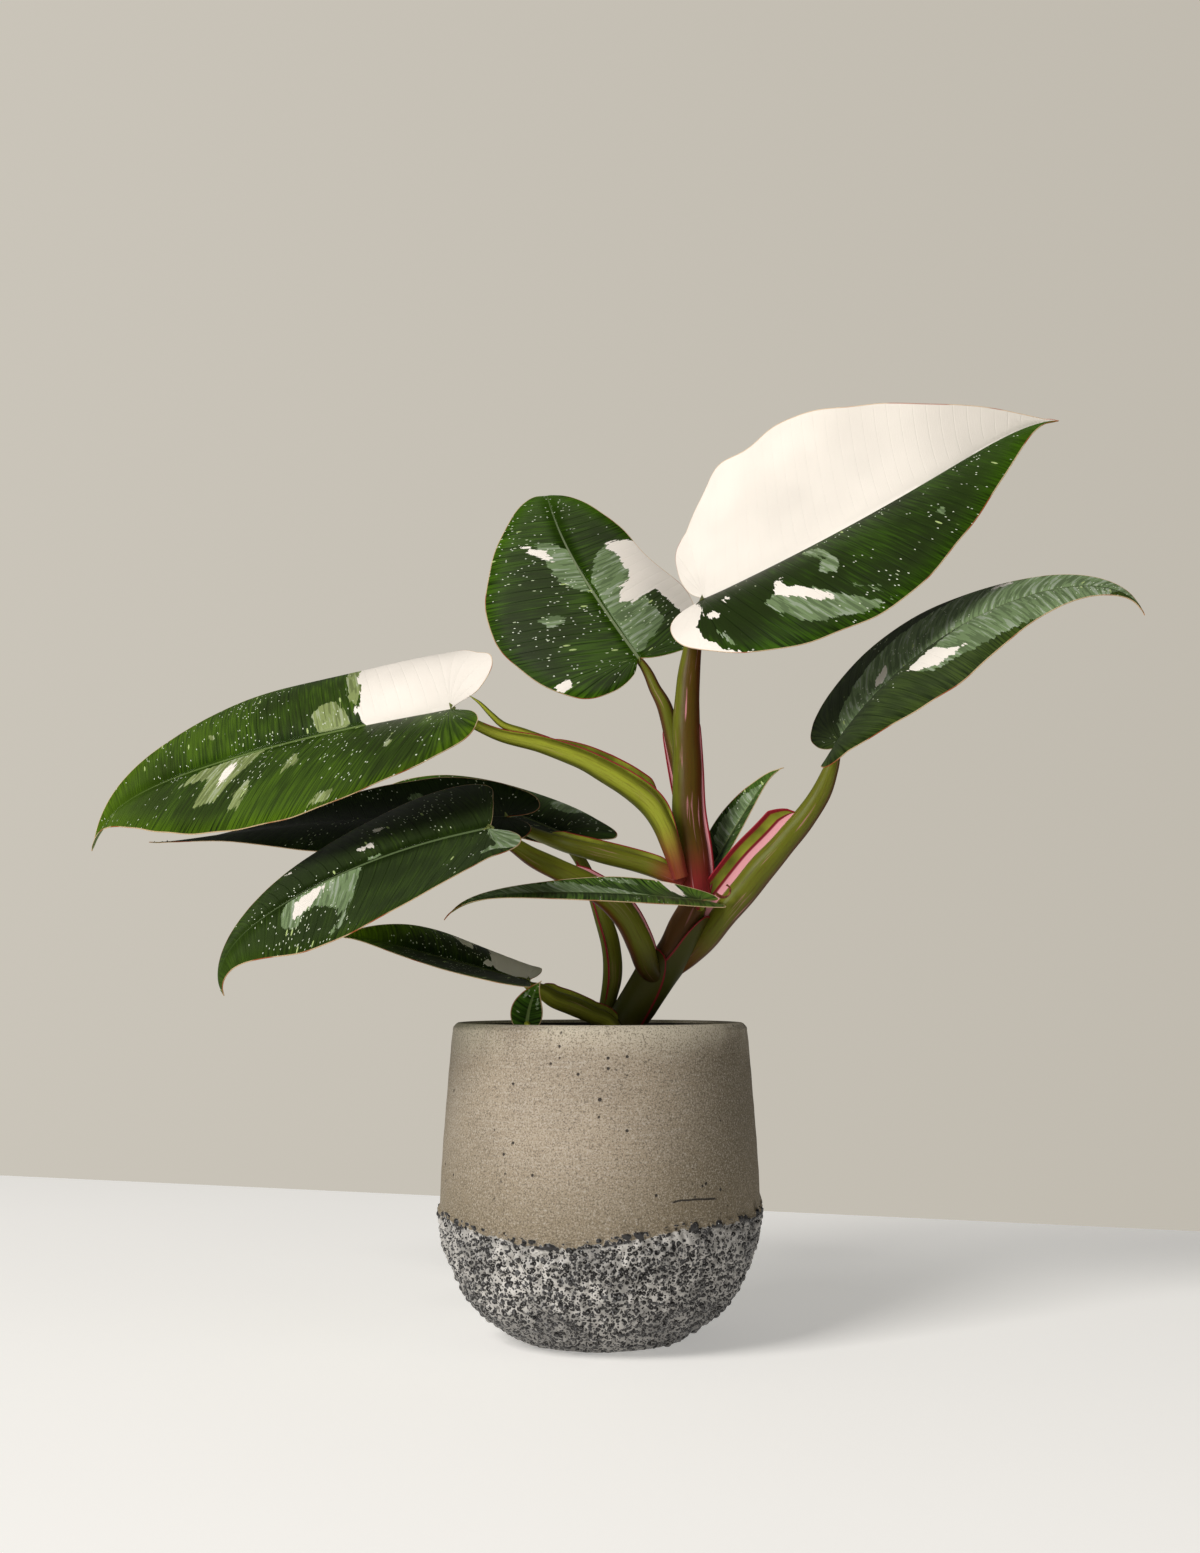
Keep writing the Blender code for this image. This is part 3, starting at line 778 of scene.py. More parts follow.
def blade_points(leaf, stations, columns, settings):
    """The blade's grid of points with the fields that its finish reads, all in millimetres."""
    places = np.linspace(0, 1, stations)
    mean_along, mean_out = outline(leaf, sum(leaf.lobes) / 2, places)
    foot = np.maximum(mean_along * leaf.length - VEIN_LEAN * mean_out * sum(leaf.widths) / 2, 0)
    spacing = settings.vein_spacing / MM * min(1, leaf.length / 120 + 0.15)
    grids, fields = [], []
    for side in (0, 1):
        along, out = outline(leaf, leaf.lobes[side], places)
        along, out = along * leaf.length, out * leaf.widths[side]
        for bay_side, middle, reach, change in leaf.bays:
            if bay_side == side:
                out = out * (1 + change * np.exp(-(((along / leaf.length - middle) / reach) ** 2)))
        out = out * (1 + 0.008 * np.sin(along / 11 + leaf.length) + 0.005 * np.sin(along / 4.7))
        step = np.hypot(np.diff(along, prepend=along[0]), np.diff(out, prepend=out[0]))
        vein = np.where(foot > 0, foot, -LOBE_STRETCH * np.cumsum(np.where(foot > 0, 0, step)))
        share = np.linspace(0, 1, columns)[None, :]
        x = foot[:, None] + (along - foot)[:, None] * share**VEIN_BUNCH
        q = out[:, None] * share
        points = bend_half(leaf, side, x, q)
        reach = np.hypot(along - foot, out)[:, None] * share
        veins = vein[:, None] + 0 * share
        normal = np.cross(np.gradient(points, axis=0), np.gradient(points, axis=1))
        size = np.linalg.norm(normal, axis=-1, keepdims=True)
        normal = normal / np.maximum(size, 1e-9)
        up = midrib_frames(leaf, x)[3]
        normal *= np.where((normal * up).sum(-1, keepdims=True) < 0, -1, 1)
        phase = (veins + 2.5 * side) / spacing
        quilt = 1 - np.abs(np.sin(np.pi * phase)) ** 0.7
        calm = eased(reach, 1, 14) * eased(out[:, None] * (1 - share), 0, 9)
        ripple = np.sin(veins / 17 + 2 * side) * share**3 * min(1.0, leaf.length / 150)
        groove = np.exp(-((reach / 1.6) ** 2)) * eased(x, -2, 12)
        lift = -settings.vein_depth / MM * quilt * calm + 0.5 * ripple - 0.28 * groove
        lift *= eased(size[..., 0], 0.0005, 0.01)
        points = points + normal * lift[..., None]
        sense = 1 if side == 0 else -1
        edge = np.minimum((1 - share) * np.hypot(along - foot, out)[:, None], 30)
        known = {"x": x, "y": sense * q, "vein": veins + HALVES_APART * side, "reach": reach}
        fields.append({**known, "edge": edge, "phase": phase})
        grids.append(points)
    return grids, fields


def rib_thickness(leaf, x, reach, settings):
    """How thick the blade is at each point, as a share of the midrib's thickness at the stalk."""
    blade = settings.thickness / MM / rib_height(leaf)
    rib = np.exp(-((reach / (0.6 + 1.6 * (1 - np.clip(x / leaf.length, 0, 1)))) ** 2))
    return blade + (1 - blade) * rib * (1 - 0.8 * np.clip(x / leaf.length, 0, 1))


def rib_height(leaf):
    """The midrib's thickness at the stalk, in millimetres."""
    return 0.9 + leaf.length / 110


def grow_blade(name, leaf, settings):
    """Bends a flat sheet into one blade, thickens it along the midrib and paints both faces."""
    sheet, station, column = grid_sheet("blade_" + name, BLADE_STATIONS, 2 * BLADE_COLUMNS)
    grids, fields = blade_points(leaf, BLADE_STATIONS + 1, BLADE_COLUMNS + 1, settings)
    left = column >= BLADE_COLUMNS
    out = np.abs(column - BLADE_COLUMNS)

    def pick(halves):
        """Each point's own row, out of the left half's grid or the right half's."""
        rows = [half[station, out].reshape(len(out), -1) for half in halves]
        return np.where(left[:, None], *rows)

    set_points(sheet, pick(grids) * MM)
    value = {key: pick([half[key] for half in fields])[:, 0] for key in fields[0]}
    set_attribute(sheet, "cream", patch_field(leaf, value["x"], value["y"], leaf.cream))
    set_attribute(sheet, "mint", patch_field(leaf, value["x"], value["y"], leaf.mint))
    set_attribute(sheet, "vein", np.stack([value["vein"], value["reach"], value["phase"]], -1))
    taper = value["x"] / leaf.length
    set_attribute(sheet, "margin", np.stack([value["edge"], np.abs(value["y"]), taper], -1))
    group = sheet.vertex_groups.new(name="thickness")
    for i, weight in enumerate(rib_thickness(leaf, value["x"], value["reach"], settings)):
        thin = MARGIN_SHARE + (1 - MARGIN_SHARE) * min(value["edge"][i] / MARGIN_REACH, 1)
        group.add([i], float(min(weight * thin, 1)), "REPLACE")
    close_up(sheet, merge=2e-5, outwards=False)
    middle = sheet.data.polygons[len(sheet.data.polygons) // 3]
    up = midrib_frames(leaf, np.array([leaf.length * 0.3]))[3][0]
    if middle.normal.dot(Vector(up)) < 0:
        edit(sheet)
        bpy.ops.mesh.flip_normals()
        bpy.ops.object.mode_set(mode="OBJECT")
    sheet.data.materials.append(leaf_finish(name, leaf, settings))
    sheet.data.materials.append(underside_finish(name, settings))
    add_modifier(
        sheet, "SOLIDIFY", thickness=rib_height(leaf) * MM, offset=-1, vertex_group="thickness",
        use_even_offset=False, material_offset=1, material_offset_rim=0,
    )
    shade(sheet, 60)
    hand_over(sheet, "leaf_" + name, "leaf_blade")


def patch_masks(finish, vein, reach):
    """Masks of the cream and mint patches, with ragged edges that run out along the veins."""
    ragged = finish.grain(vein * 0.34, reach * 0.05, 3.0, 0.6) - 0.5
    fine = finish.grain(vein * 2.0, reach * 0.35) - 0.5
    hold = (reach / 5).lower(1.0)
    shift = (ragged * 9.5 + fine * 1.6) * hold
    cream = (finish.attribute("cream") + shift).ease(-0.1, 0.1)
    mint = (finish.attribute("mint") + shift * 0.9 + fine * 1.2 * hold).ease(-0.12, 0.12)
    return cream, mint


def leaf_finish(name, leaf, settings):
    """The upper face: greens, mint patches, flecks, cream patches, midrib and margin, in turn."""
    finish = Finish("leaf_face_" + name, Specular_IOR_Level=0.05, IOR=1.4)
    vein, reach, phase = finish.three("vein")
    edge, across, taper = finish.three("margin")
    cream, mint = patch_masks(finish, vein, reach)
    place = finish.place()

    cloud = finish.noise(place, 26.0)
    streak = finish.grain(vein * 0.9, reach * 0.05)
    lightness = cloud.ease(0.36, 0.6) * 0.5 + streak.ease(0.35, 0.65) * 0.5
    green = finish.mix(lightness, settings.deep_green, leaf.green)
    freshness = edge.ease(12, 0) * streak.ease(0.3, 0.6) * 0.5 + taper.ease(0.55, 1.0) * 0.5
    freshness = freshness + (cloud * 0.5 + streak * 0.5).ease(0.48, 0.64) * 0.45
    green = finish.mix(freshness.lower(1.0), green, leaf.fresh)
    vein_line = abs(phase.maths("FRACT") - 0.5).ease(0.5, 0.44)
    side_vein = vein_line * reach.ease(2, 8) * edge.ease(1, 9)
    green = finish.mix(side_vein * 0.06, green, leaf.rib)

    tone = finish.grain(vein * 0.5, reach * 0.05)
    base = leaf.patch or settings.mint
    mint_colour = finish.mix(tone.ease(0.44, 0.47), darker(base, 0.4), base)
    mint_colour = finish.mix(tone.ease(0.57, 0.585) * 0.7, mint_colour, lighter(base, 0.3))
    mint_colour = finish.mix(side_vein * 0.25, mint_colour, darker(base, 0.5))
    colour = finish.mix(mint * 0.93, green, mint_colour)

    crowd = finish.noise(place, 22.0, 1.0)
    for wide, long, size, share, pale in FLECK_SIZES:
        distance, chance = finish.flat_cells(vein * wide, reach * long)
        rarity = 1 - share * leaf.flecks
        spot = distance.ease(size, size * 0.75)
        spot = spot * (chance + (crowd - 0.5) * 0.35).ease(rarity, rarity + 0.01)
        colour = finish.mix(spot, colour, lighter(settings.fleck, pale))

    blush = [(0.3, darker(settings.cream, 0.14)), (0.6, settings.cream)]
    colour = finish.mix(cream, colour, finish.ramp(finish.noise(place, 18.0), blush))

    rib = (across / (1.15 - 0.9 * taper).higher(0.25)).ease(1.0, 0.5)
    rib = rib * (1 - cream) * taper.ease(1.1, 0.35)
    colour = finish.mix(rib * (0.45 + mint * 0.4), colour, leaf.rib)
    dry = finish.noise(place, 60.0, 1.0).ease(0.52, 0.66)
    rim_colour = finish.mix(dry, settings.margin, DRY_MARGIN)
    colour = finish.mix(edge.ease(0.55, 0.2) * 0.8, colour, rim_colour)
    finish.set("Base Color", colour)

    sheen = finish.grain(vein * 0.3, reach * 0.04)
    finish.set("Roughness", 0.28 + sheen * 0.2 + cream * 0.14)
    height = finish.grain(vein * 3.2, reach * 0.16) * 0.5 + vein_line * reach.ease(1, 6) * 0.5
    finish.bump(height + finish.noise(place, 420.0, 1.0) * 0.12, 0.35 * MM, 0.45)
    return finish.material


def underside_finish(name, settings):
    """The back: duller and paler, with the same patches showing through."""
    finish = Finish("leaf_back_" + name, Roughness=0.55, Specular_IOR_Level=0.15, IOR=1.45)
    vein, reach, phase = finish.three("vein")
    _, across, taper = finish.three("margin")
    cream, mint = patch_masks(finish, vein, reach)
    tone = finish.grain(vein * 0.8, reach * 0.06)
    green = finish.mix(tone.ease(0.3, 0.7), darker(settings.underside, 0.25), settings.underside)
    colour = finish.mix(mint * 0.8, green, lighter(settings.mint, 0.15))
    colour = finish.mix(cream * 0.92, colour, darker(settings.cream, 0.1))
    vein_line = abs(phase.maths("FRACT") - 0.5).ease(0.5, 0.42) * reach.ease(1, 5)
    colour = finish.mix(vein_line * 0.35, colour, lighter(settings.underside, 0.35))
    rib = (across / (2.4 - 1.8 * taper).higher(0.4)).ease(1.0, 0.5)
    colour = finish.mix(rib * 0.8, colour, UNDER_RIB)
    finish.set("Base Color", colour)
    finish.bump(vein_line + finish.noise(finish.place(), 500.0, 1.0) * 0.2, 0.4 * MM, 0.6)
    return finish.material


# ---------------------------------------------------------------- stem and leaf stalks

# (x, y, z, radius) along each, from the root end up, as its solid in the frame has it.
STEMS = {
    "main_stem": [
        (0, 2, 117, 7.1), (7, 1, 136, 8.1), (12, 0, 146, 8.3), (19, -1, 157, 8.3),
        (27, -2, 169, 8.1), (35, -3, 181, 7.9), (40, -4, 192, 7.4), (45, -4, 203, 6.2),
    ],
    "petiole_top": [
        (46, -4, 205, 6.7), (45, -4, 214, 7.9), (44, -3, 229, 7.9), (42, -2, 248, 7.4),
        (42, 0, 268, 7), (42, 2, 292, 6.5), (43, 4, 312, 5.6), (45, 5, 327, 4.6),
        (48, 6, 342, 3.4), (50, 7, 350, 2.2),
    ],
    "petiole_left": [
        (38, -12, 215, 3.8), (34, -14, 229, 4.7), (30, -15, 240, 5.4), (24, -16, 250, 6.2),
        (14, -18, 258, 6.1), (2, -20, 265, 5.4), (-10, -22, 271, 4.7), (-28, -25, 277, 4),
        (-47, -28, 281, 3), (-63, -29, 288, 2.1),
    ],
    "petiole_round": [
        (48, 9, 215, 3.5), (45, 12, 240, 4.1), (40, 13, 264, 4.2), (36, 14, 284, 4.2),
        (32, 14, 300, 3.7), (27, 15, 310, 3), (24, 16, 317, 2.5), (21, 16, 322, 2),
    ],
    "petiole_right": [
        (36, -3, 173, 4.3), (43, -3, 179, 5.2), (51, -4, 187, 5.7), (60, -5, 199, 6.4),
        (69, -6, 210, 6.9), (77, -7, 220, 6.7), (87, -8, 231, 6), (97, -9, 243, 5.5),
        (105, -10, 255, 4.8), (110, -12, 267, 3.6), (113, -13, 276, 2.4),
    ],
    "petiole_dark": [
        (40, -8, 213, 4.1), (30, -7, 218, 4.3), (19, -5, 222, 4.3), (0, -3, 227, 4.3),
        (-15, -1, 231, 3.8), (-26, 4, 235, 3.1), (-37, 12, 240, 2.4), (-46, 20, 243.5, 1.8),
    ],
    "petiole_lower_left": [
        (26, -8, 168, 4.3), (22, -13, 174, 5.6), (19, -16, 183, 6.1), (13, -19, 195, 6.1),
        (5, -22, 204, 6.1), (-6, -26, 211, 5.6), (-20, -31, 218, 5.1), (-31, -40, 223, 4.4),
        (-41, -49, 229, 3.2), (-49, -54, 232, 2.2),
    ],
    "petiole_back": [
        (0, 6, 128, 3.8), (3, 6, 152, 3.8), (6, 8, 169, 4.6), (5, 10, 184, 4.6),
        (1, 12, 198, 4.1), (-4, 16, 213, 3.4), (-10, 27, 226, 2.9), (-18, 42, 236, 2),
    ],
    "petiole_low": [
        (13, -8, 129, 3.8), (5, -11, 146, 4), (-4, -16, 151, 4.2), (-13, -22, 155, 4.4),
        (-21, -28, 158, 4.1), (-27, -33, 162, 3.2), (-32, -35, 164, 2.2),
    ],
    "petiole_thin": [(46, -8, 204, 2.4), (47, -16, 201, 2), (47, -24, 201.3, 1.5)],
    "petiole_small": [(50, 9, 207, 2.6), (53, 13, 214, 2.2), (55, 14.5, 220, 1.5)],
    "petiole_tiny": [(-25, -46, 127, 2.3), (-29, -50, 138, 2.2), (-32, -53, 145, 1.6)],
}
FRONT = np.array((0, -1, -0.35))
STALK_STEP = 1.2  # millimetres between a stalk's rings
SHEATH_READINGS = 200  # places along a stalk from which a sheath takes its course
RUN_OUT = 7  # millimetres that a stalk goes on along the midrib
CLASP_MARK = 2.2  # stored in place of a wing's inner share, so that the finish knows a wrap
CLASP_FLARE = 2.4  # millimetres that a wrap's tip stands off


class Sheath(NamedTuple):
    """A wing along a stalk: where it starts and ends, the side it's on, and its height.

    The side is in turns from the front, to the right positive. Lean tilts the wing from straight
    out towards the front or, if negative, away from it.
    """

    start: float
    end: float
    side: float
    height: float
    lean: float = 0.0
    tip: float = 0.2  # share of its length over which it dies away
    inner: float = 0.3  # share of its height up to which it's pink


class Wrap(NamedTuple):
    """A sheath that clasps a stalk: a shell round one side of it that narrows to a pointed tip."""

    start: float
    end: float
    side: float
    spread: float
    gap: float = 0.5


class Stalk(NamedTuple):
    """How a stalk looks: its colours across the front from left to right, and its sheaths."""

    left: str
    middle: str
    right: str
    base: str
    streaks: float
    groove: float
    wings: tuple = ()
    wraps: tuple = ()
    spike: tuple = ()  # the free tip of a sheath: (x, y, z, radius) along it


STALKS = {
    "main_stem": Stalk(
        "brown", "brown", "olive", "dark", 0.2, 0.0,
        wraps=[Wrap(0.05, 0.72, -0.16, 0.27), Wrap(0.35, 0.97, 0.1, 0.2, gap=0.8)],
    ),
    "petiole_top": Stalk(
        "olive", "umber", "rust", "red", 0.7, 0.04,
        wings=[Sheath(0.0, 0.55, 0.21, 2.0, lean=-0.3, tip=0.8, inner=1.0)],
    ),
    "petiole_left": Stalk(
        "olive", "lime", "olive", "red", 0.1, 0.06,
        wings=[
            Sheath(0.12, 0.85, 0.2, 1.5, lean=0.2, tip=0.6, inner=0.0),
            Sheath(0.25, 0.62, 0.36, 3.4, lean=0.4, tip=0.5, inner=0.0),
        ],
        spike=[
            (-24, -25, 279, 1.5), (-36, -27, 282.5, 1.9), (-45, -28.5, 285.5, 1.7),
            (-51, -30, 290.5, 1.3), (-56, -31, 295.5, 0.8), (-61, -32, 299, 0.15),
        ],
    ),
    "petiole_round": Stalk(
        "brown", "olive", "brown", "red", 0.3, 0.1,
        wings=[Sheath(0.1, 0.62, -0.22, 1.8, tip=0.5, inner=1.0)],
    ),
    "petiole_right": Stalk(
        "olive", "olive", "brown", "rust", 0.4, 0.08,
        wings=[Sheath(0.16, 0.66, -0.24, 10.5, lean=0.15, tip=0.12, inner=0.35)],
    ),
    "petiole_dark": Stalk(
        "olive", "olive", "olive", "red", 0.25, 0.1,
        wings=[Sheath(0.05, 0.66, 0.4, 3.0, lean=0.4, tip=0.1, inner=0.2)],
    ),
    "petiole_lower_left": Stalk(
        "rust", "olive", "olive", "dark", 0.15, 0.1,
        wings=[Sheath(0.05, 0.55, 0.38, 2.4, lean=0.3, tip=0.12, inner=0.8)],
    ),
    "petiole_back": Stalk(
        "olive", "olive", "olive", "dark", 0.2, 0.1,
        wings=[Sheath(0.2, 0.75, -0.06, 0.9, tip=0.3, inner=1.0)],
    ),
    "petiole_low": Stalk(
        "lime", "lime", "olive", "red", 0.2, 0.1,
        wings=[Sheath(0.15, 0.8, 0.42, 3.0, lean=0.4, tip=0.12, inner=0.2)],
    ),
    "petiole_thin": Stalk("red", "olive", "olive", "red", 0.2, 0.05),
    "petiole_small": Stalk("olive", "olive", "olive", "red", 0.2, 0.05),
    "petiole_tiny": Stalk("lime", "lime", "lime", "olive", 0.2, 0.05),
}


def stalk_frames(route, count):
    """Places, radii, ways to the front and to the right, and distances along, in millimetres."""
    path = curve_through(route, np.linspace(0, 1, count))
    middles, radii = path[:, :3], path[:, 3]
    ways = np.gradient(middles, axis=0)
    ways /= np.linalg.norm(ways, axis=1)[:, None]
    front = FRONT - ways * (ways @ FRONT)[:, None]
    front /= np.linalg.norm(front, axis=1)[:, None]
    right = np.cross(ways, front)
    return middles, radii, front, right, travelled_along(middles)


def route_length(route):
    """Rough length of a stalk, straight from one given place to the next."""
    points = np.array(route, float)[:, :3]
    return float(np.linalg.norm(np.diff(points, axis=0), axis=1).sum())


def grow_tube(name, route, look, sides):
    """The round body of a stalk, grooved on its upper side, with its ends filled."""
    count = max(int(route_length(route) / STALK_STEP), 12)
    tube, ring, side = grid_sheet(name, count - 1, sides)
    middles, radii, front, right, travelled = stalk_frames(route, count)
    turn = side / sides - 0.5
    angle = turn * 2 * math.pi
    top = np.abs(np.abs(turn) - 0.5)
    share = travelled[ring] / travelled[-1]
    dent = look.groove * np.exp(-((top / 0.09) ** 2)) * eased(share, 0.3, 0.6)
    lumps = 0.03 * np.sin(travelled[ring] / 9 + angle)
    lumps = lumps + 0.02 * np.sin(travelled[ring] / 3.7 + 2 * angle)
    radius = radii[ring] * (1 - dent + lumps * 0.6)
    if name == "main_stem":
        joints = np.exp(-(((travelled[ring] % 17) - 8.5) / 1.1) ** 2)
        radius = radius * (1 + 0.055 * joints)
    spread = np.cos(angle)[:, None] * front[ring] + np.sin(angle)[:, None] * right[ring]
    set_points(tube, (middles[ring] + spread * radius[:, None]) * MM)
    set_attribute(tube, "round", np.stack([turn, travelled[ring], share], -1))
    set_attribute(tube, "wing", np.zeros((len(turn), 3)))
    close_up(tube, merge=1e-7, fill=True)
    return tube


def grow_wing(name, route, wing):
    """One wing of a sheath: a curved strip with a free edge, given its thickness."""
    steps, columns = 60, 8
    strip, ring, column = grid_sheet(name, steps, columns)
    shares = np.linspace(wing.start, wing.end, steps + 1)
    middles, radii, front, right, travelled = stalk_frames(route, SHEATH_READINGS)
    at = shares * travelled[-1]
    middle, ahead, aside = (read_rows(at, travelled, rows) for rows in (middles, front, right))
    radius = np.interp(at, travelled, radii)
    local = np.linspace(0, 1, steps + 1)
    height = wing.height * np.minimum(1, (1 - local) / wing.tip) ** 0.5 * eased(local, 0, 0.15)
    angle = wing.side * 2 * math.pi
    out = math.cos(angle) * ahead + math.sin(angle) * aside
    over = -math.sin(angle) * ahead + math.cos(angle) * aside
    across = column / columns
    lift = across * height[ring]
    sense = 1 if wing.lean >= 0 else -1
    hollow = 0.25 * wing.height * np.sin(across * math.pi) * sense * (height[ring] / wing.height)
    sideways = wing.lean * lift + hollow
    root = middle[ring] + out[ring] * (radius[ring] * 0.86)[:, None]
    stand = lift * 0.96 + 0.14 * radius[ring] * across
    points = root + out[ring] * stand[:, None] - over[ring] * sideways[:, None]
    set_points(strip, points * MM)
    turn = np.full(len(ring), wing.side)
    set_attribute(strip, "round", np.stack([turn, at[ring], shares[ring]], -1))
    inner, is_wing = np.full(len(ring), wing.inner), np.ones(len(ring))
    set_attribute(strip, "wing", np.stack([across, inner, is_wing], -1))
    add_modifier(strip, "SOLIDIFY", thickness=0.75 * MM, offset=0, use_even_offset=False)
    close_up(strip, merge=1e-7)
    return strip


def grow_wrap(name, route, wrap):
    """A clasping sheath: its sides draw together towards a pointed tip that stands off a little."""
    steps, columns = 60, 22
    shell, ring, column = grid_sheet(name, steps, columns)
    middles, radii, front, right, travelled = stalk_frames(route, SHEATH_READINGS)
    at = np.linspace(wrap.start, wrap.end, steps + 1) * travelled[-1]
    middle, ahead, aside = (read_rows(at, travelled, rows) for rows in (middles, front, right))
    radius = np.interp(at, travelled, radii)
    local = np.linspace(0, 1, steps + 1)
    spread = wrap.spread * np.sqrt(np.clip(1 - local**2.2, 0, 1))
    across = column / columns * 2 - 1
    angle = 2 * math.pi * (wrap.side + spread[ring] * across + 0.04 * local[ring])
    stand = wrap.gap * eased(local, 0, 0.15) + CLASP_FLARE * local**3
    distance = radius[ring] + stand[ring] + 0.5 * np.abs(across) ** 3 * local[ring]
    out = np.cos(angle)[:, None] * ahead[ring] + np.sin(angle)[:, None] * aside[ring]
    set_points(shell, (middle[ring] + out * distance[:, None]) * MM)
    set_attribute(shell, "round", np.stack([wrap.side + 0 * across, at[ring], 0 * across], -1))
    edge = np.maximum(np.abs(across), local[ring] ** 8)
    set_attribute(shell, "wing", np.stack([edge, np.full(len(ring), CLASP_MARK), 0 * across], -1))
    close_up(shell, merge=1e-6, outwards=False)
    add_modifier(shell, "SOLIDIFY", thickness=0.6 * MM, offset=0, use_even_offset=False)
    close_up(shell, merge=1e-7)
    return shell


def stalk_tones(settings):
    """The colours that a stalk's look may name."""
    names = ("olive", "lime", "brown", "rust", "red", "pink")
    tones = {name: tuple(getattr(settings, name)) for name in names}
    tones["dark"] = darker(tones["brown"], 0.75)
    tones["moss"] = darker(tones["olive"], 0.62)
    pairs = zip(tones["olive"], tones["rust"])
    tones["umber"] = tuple((green + 2 * red) / 4 for green, red in pairs)
    return tones


def stalk_finish(name, look, settings):
    """Colours round the stalk, streaks and specks along it, then its wings and clasping sheaths."""
    finish = Finish("stalk_" + name, Specular_IOR_Level=0.16, IOR=1.45)
    turn, travelled, share = finish.three("round")
    across, inner, is_wing = finish.three("wing")
    tones = stalk_tones(settings)
    place = finish.place()
    height = finish.split(place)[2] / MM
    cloud = finish.noise(place, 45.0, 2.0) - 0.5
    side = turn + cloud * 0.08
    colour = finish.mix(side.ease(-0.13, -0.04), tones[look.left], tones[look.middle])
    colour = finish.mix(side.ease(0.06, 0.15), colour, tones[look.right])
    colour = finish.mix(share.ease(0.2, 0.02) * 0.85, colour, tones[look.base])
    grain = finish.grain(turn * 42.0, travelled * 0.06, 3.0)
    colour = finish.mix(grain.ease(0.45, 0.8) * 0.5, colour, darker(tones["brown"], 0.45))
    pale = finish.grain(turn * 30.0 + 9.0, travelled * 0.035)
    colour = finish.mix(pale.ease(0.62, 0.74) * look.streaks, colour, lighter(tones["pink"], 0.1))
    distance, chance = finish.flat_cells(turn * 60.0, travelled * 0.8)
    speck = distance.ease(0.2, 0.1) * chance.ease(0.8, 0.85)
    colour = finish.mix(speck * 0.5, colour, darker(tones["red"], 0.3))

    fresh = finish.mix(finish.noise(place, 60.0, 2.0).ease(0.35, 0.7), tones["olive"], tones["lime"])
    sheath = finish.mix((across - inner).ease(0.02, -0.04), fresh, lighter(tones["pink"], 0.12))
    line = abs(across - inner).ease(0.09, 0.03)
    sheath = finish.mix(line * inner.ease(0.05, 0.1), sheath, darker(tones["red"], 0.35))
    sheath = finish.mix(across.ease(0.74, 0.86), sheath, tones["red"])
    colour = finish.mix(is_wing, colour, sheath)
    clasp = finish.mix(grain.ease(0.4, 0.75) * 0.5, tones["moss"], darker(tones["brown"], 0.4))
    clasp = finish.mix(height.ease(158, 132), clasp, tones["dark"])
    clasp = finish.mix(across.ease(0.88, 0.97), clasp, darker(tones["red"], 0.2))
    colour = finish.mix(inner.ease(CLASP_MARK - 0.6, CLASP_MARK - 0.4), colour, clasp)
    colour = finish.mix(height.ease(152, 130) * 0.75, colour, tones["dark"])
    finish.set("Base Color", colour)
    finish.set("Roughness", 0.30 + grain * 0.2)
    finish.bump(grain * 0.8 + finish.noise(place, 380.0, 2.0) * 0.4, 0.3 * MM, 0.5)
    return finish.material


def whole_route(name):
    """A stalk's route, carried on under the blade until it runs out into the midrib."""
    leaf = LEAVES.get(name.replace("petiole_", ""))
    if leaf is None:
        return STEMS[name]
    run_out = min(RUN_OUT, leaf.length / 10)
    points, _, _, up = midrib_frames(leaf, np.array([0.3 * run_out, run_out]))
    radius = STEMS[name][-1][3]
    under = points - up * rib_height(leaf) * 0.75
    return STEMS[name] + [(*under[0], radius * 0.8), (*under[1], radius * 0.4)]


def grow_stalk(name, settings):
    """One stalk with its sheaths, or the stem, as a single piece."""
    route, look, is_stem = whole_route(name), STALKS[name], name == "main_stem"
    parts = [grow_tube(name + "_body", route, look, settings.sides)]
    for number, wing in enumerate(look.wings):
        parts.append(grow_wing(f"{name}_wing_{number}", route, wing))
    for number, wrap in enumerate(look.wraps):
        parts.append(grow_wrap(f"{name}_wrap_{number}", route, wrap))
    if look.spike:
        parts.append(grow_tube(name + "_spike", look.spike, look, 14))
    stalk = joined(parts, "stem" if is_stem else name.replace("petiole", "stalk"))
    shade(stalk, 50)
    finish = stalk_finish(name, look, settings)
    hand_over(stalk, name, "stem" if is_stem else "leaf_stalk", finish)


# ---------------------------------------------------------------- pot

# (radius, height) in millimetres, from the foot up the outside, over the rim and down the inside.
POT_OUTSIDE = [
    (31, 0), (37.4, 1.6), (43, 5.4), (54.3, 12.9), (61.4, 20.4), (66, 27.9), (69.3, 35.5),
    (72.4, 43), (74.3, 50.5), (75, 65.6), (74, 88), (72.4, 110.7), (71, 129.5), (69.8, 143),
]
POT_RIM = [(69, 145.6), (67, 147), (64.8, 146.2), (63.6, 143.5)]
POT_INSIDE = [
    (63.4, 131), (64.8, 110), (66.6, 86), (67.2, 64), (65.2, 48), (58, 32), (46, 20), (28, 13),
    (6, 12),
]
POT_SIDES = 600
PROFILE_READINGS = 4000
LAVA_TOP = 63  # millimetres up to which blisters may stand
FINE_STEP = 0.8  # millimetres between rings in the blistered zone and round the rim
GLAZE_STEP = 5.0
INSIDE_STEP = 12.0
CRACK = (41.5, 70.6, 10.5)  # a small crack in the glaze: x, height and half its length, in millimetres
BLISTER_SPACING = 2.5
BLISTER_CROWDING = 1.15  # how many more there are than that spacing needs
BLISTER_SPREAD = 1.25  # a blister's foot, in its own radii
BLISTER_SEED = 11
EDGE_BLISTERS = 90  # larger ones that straddle the line between the glazes
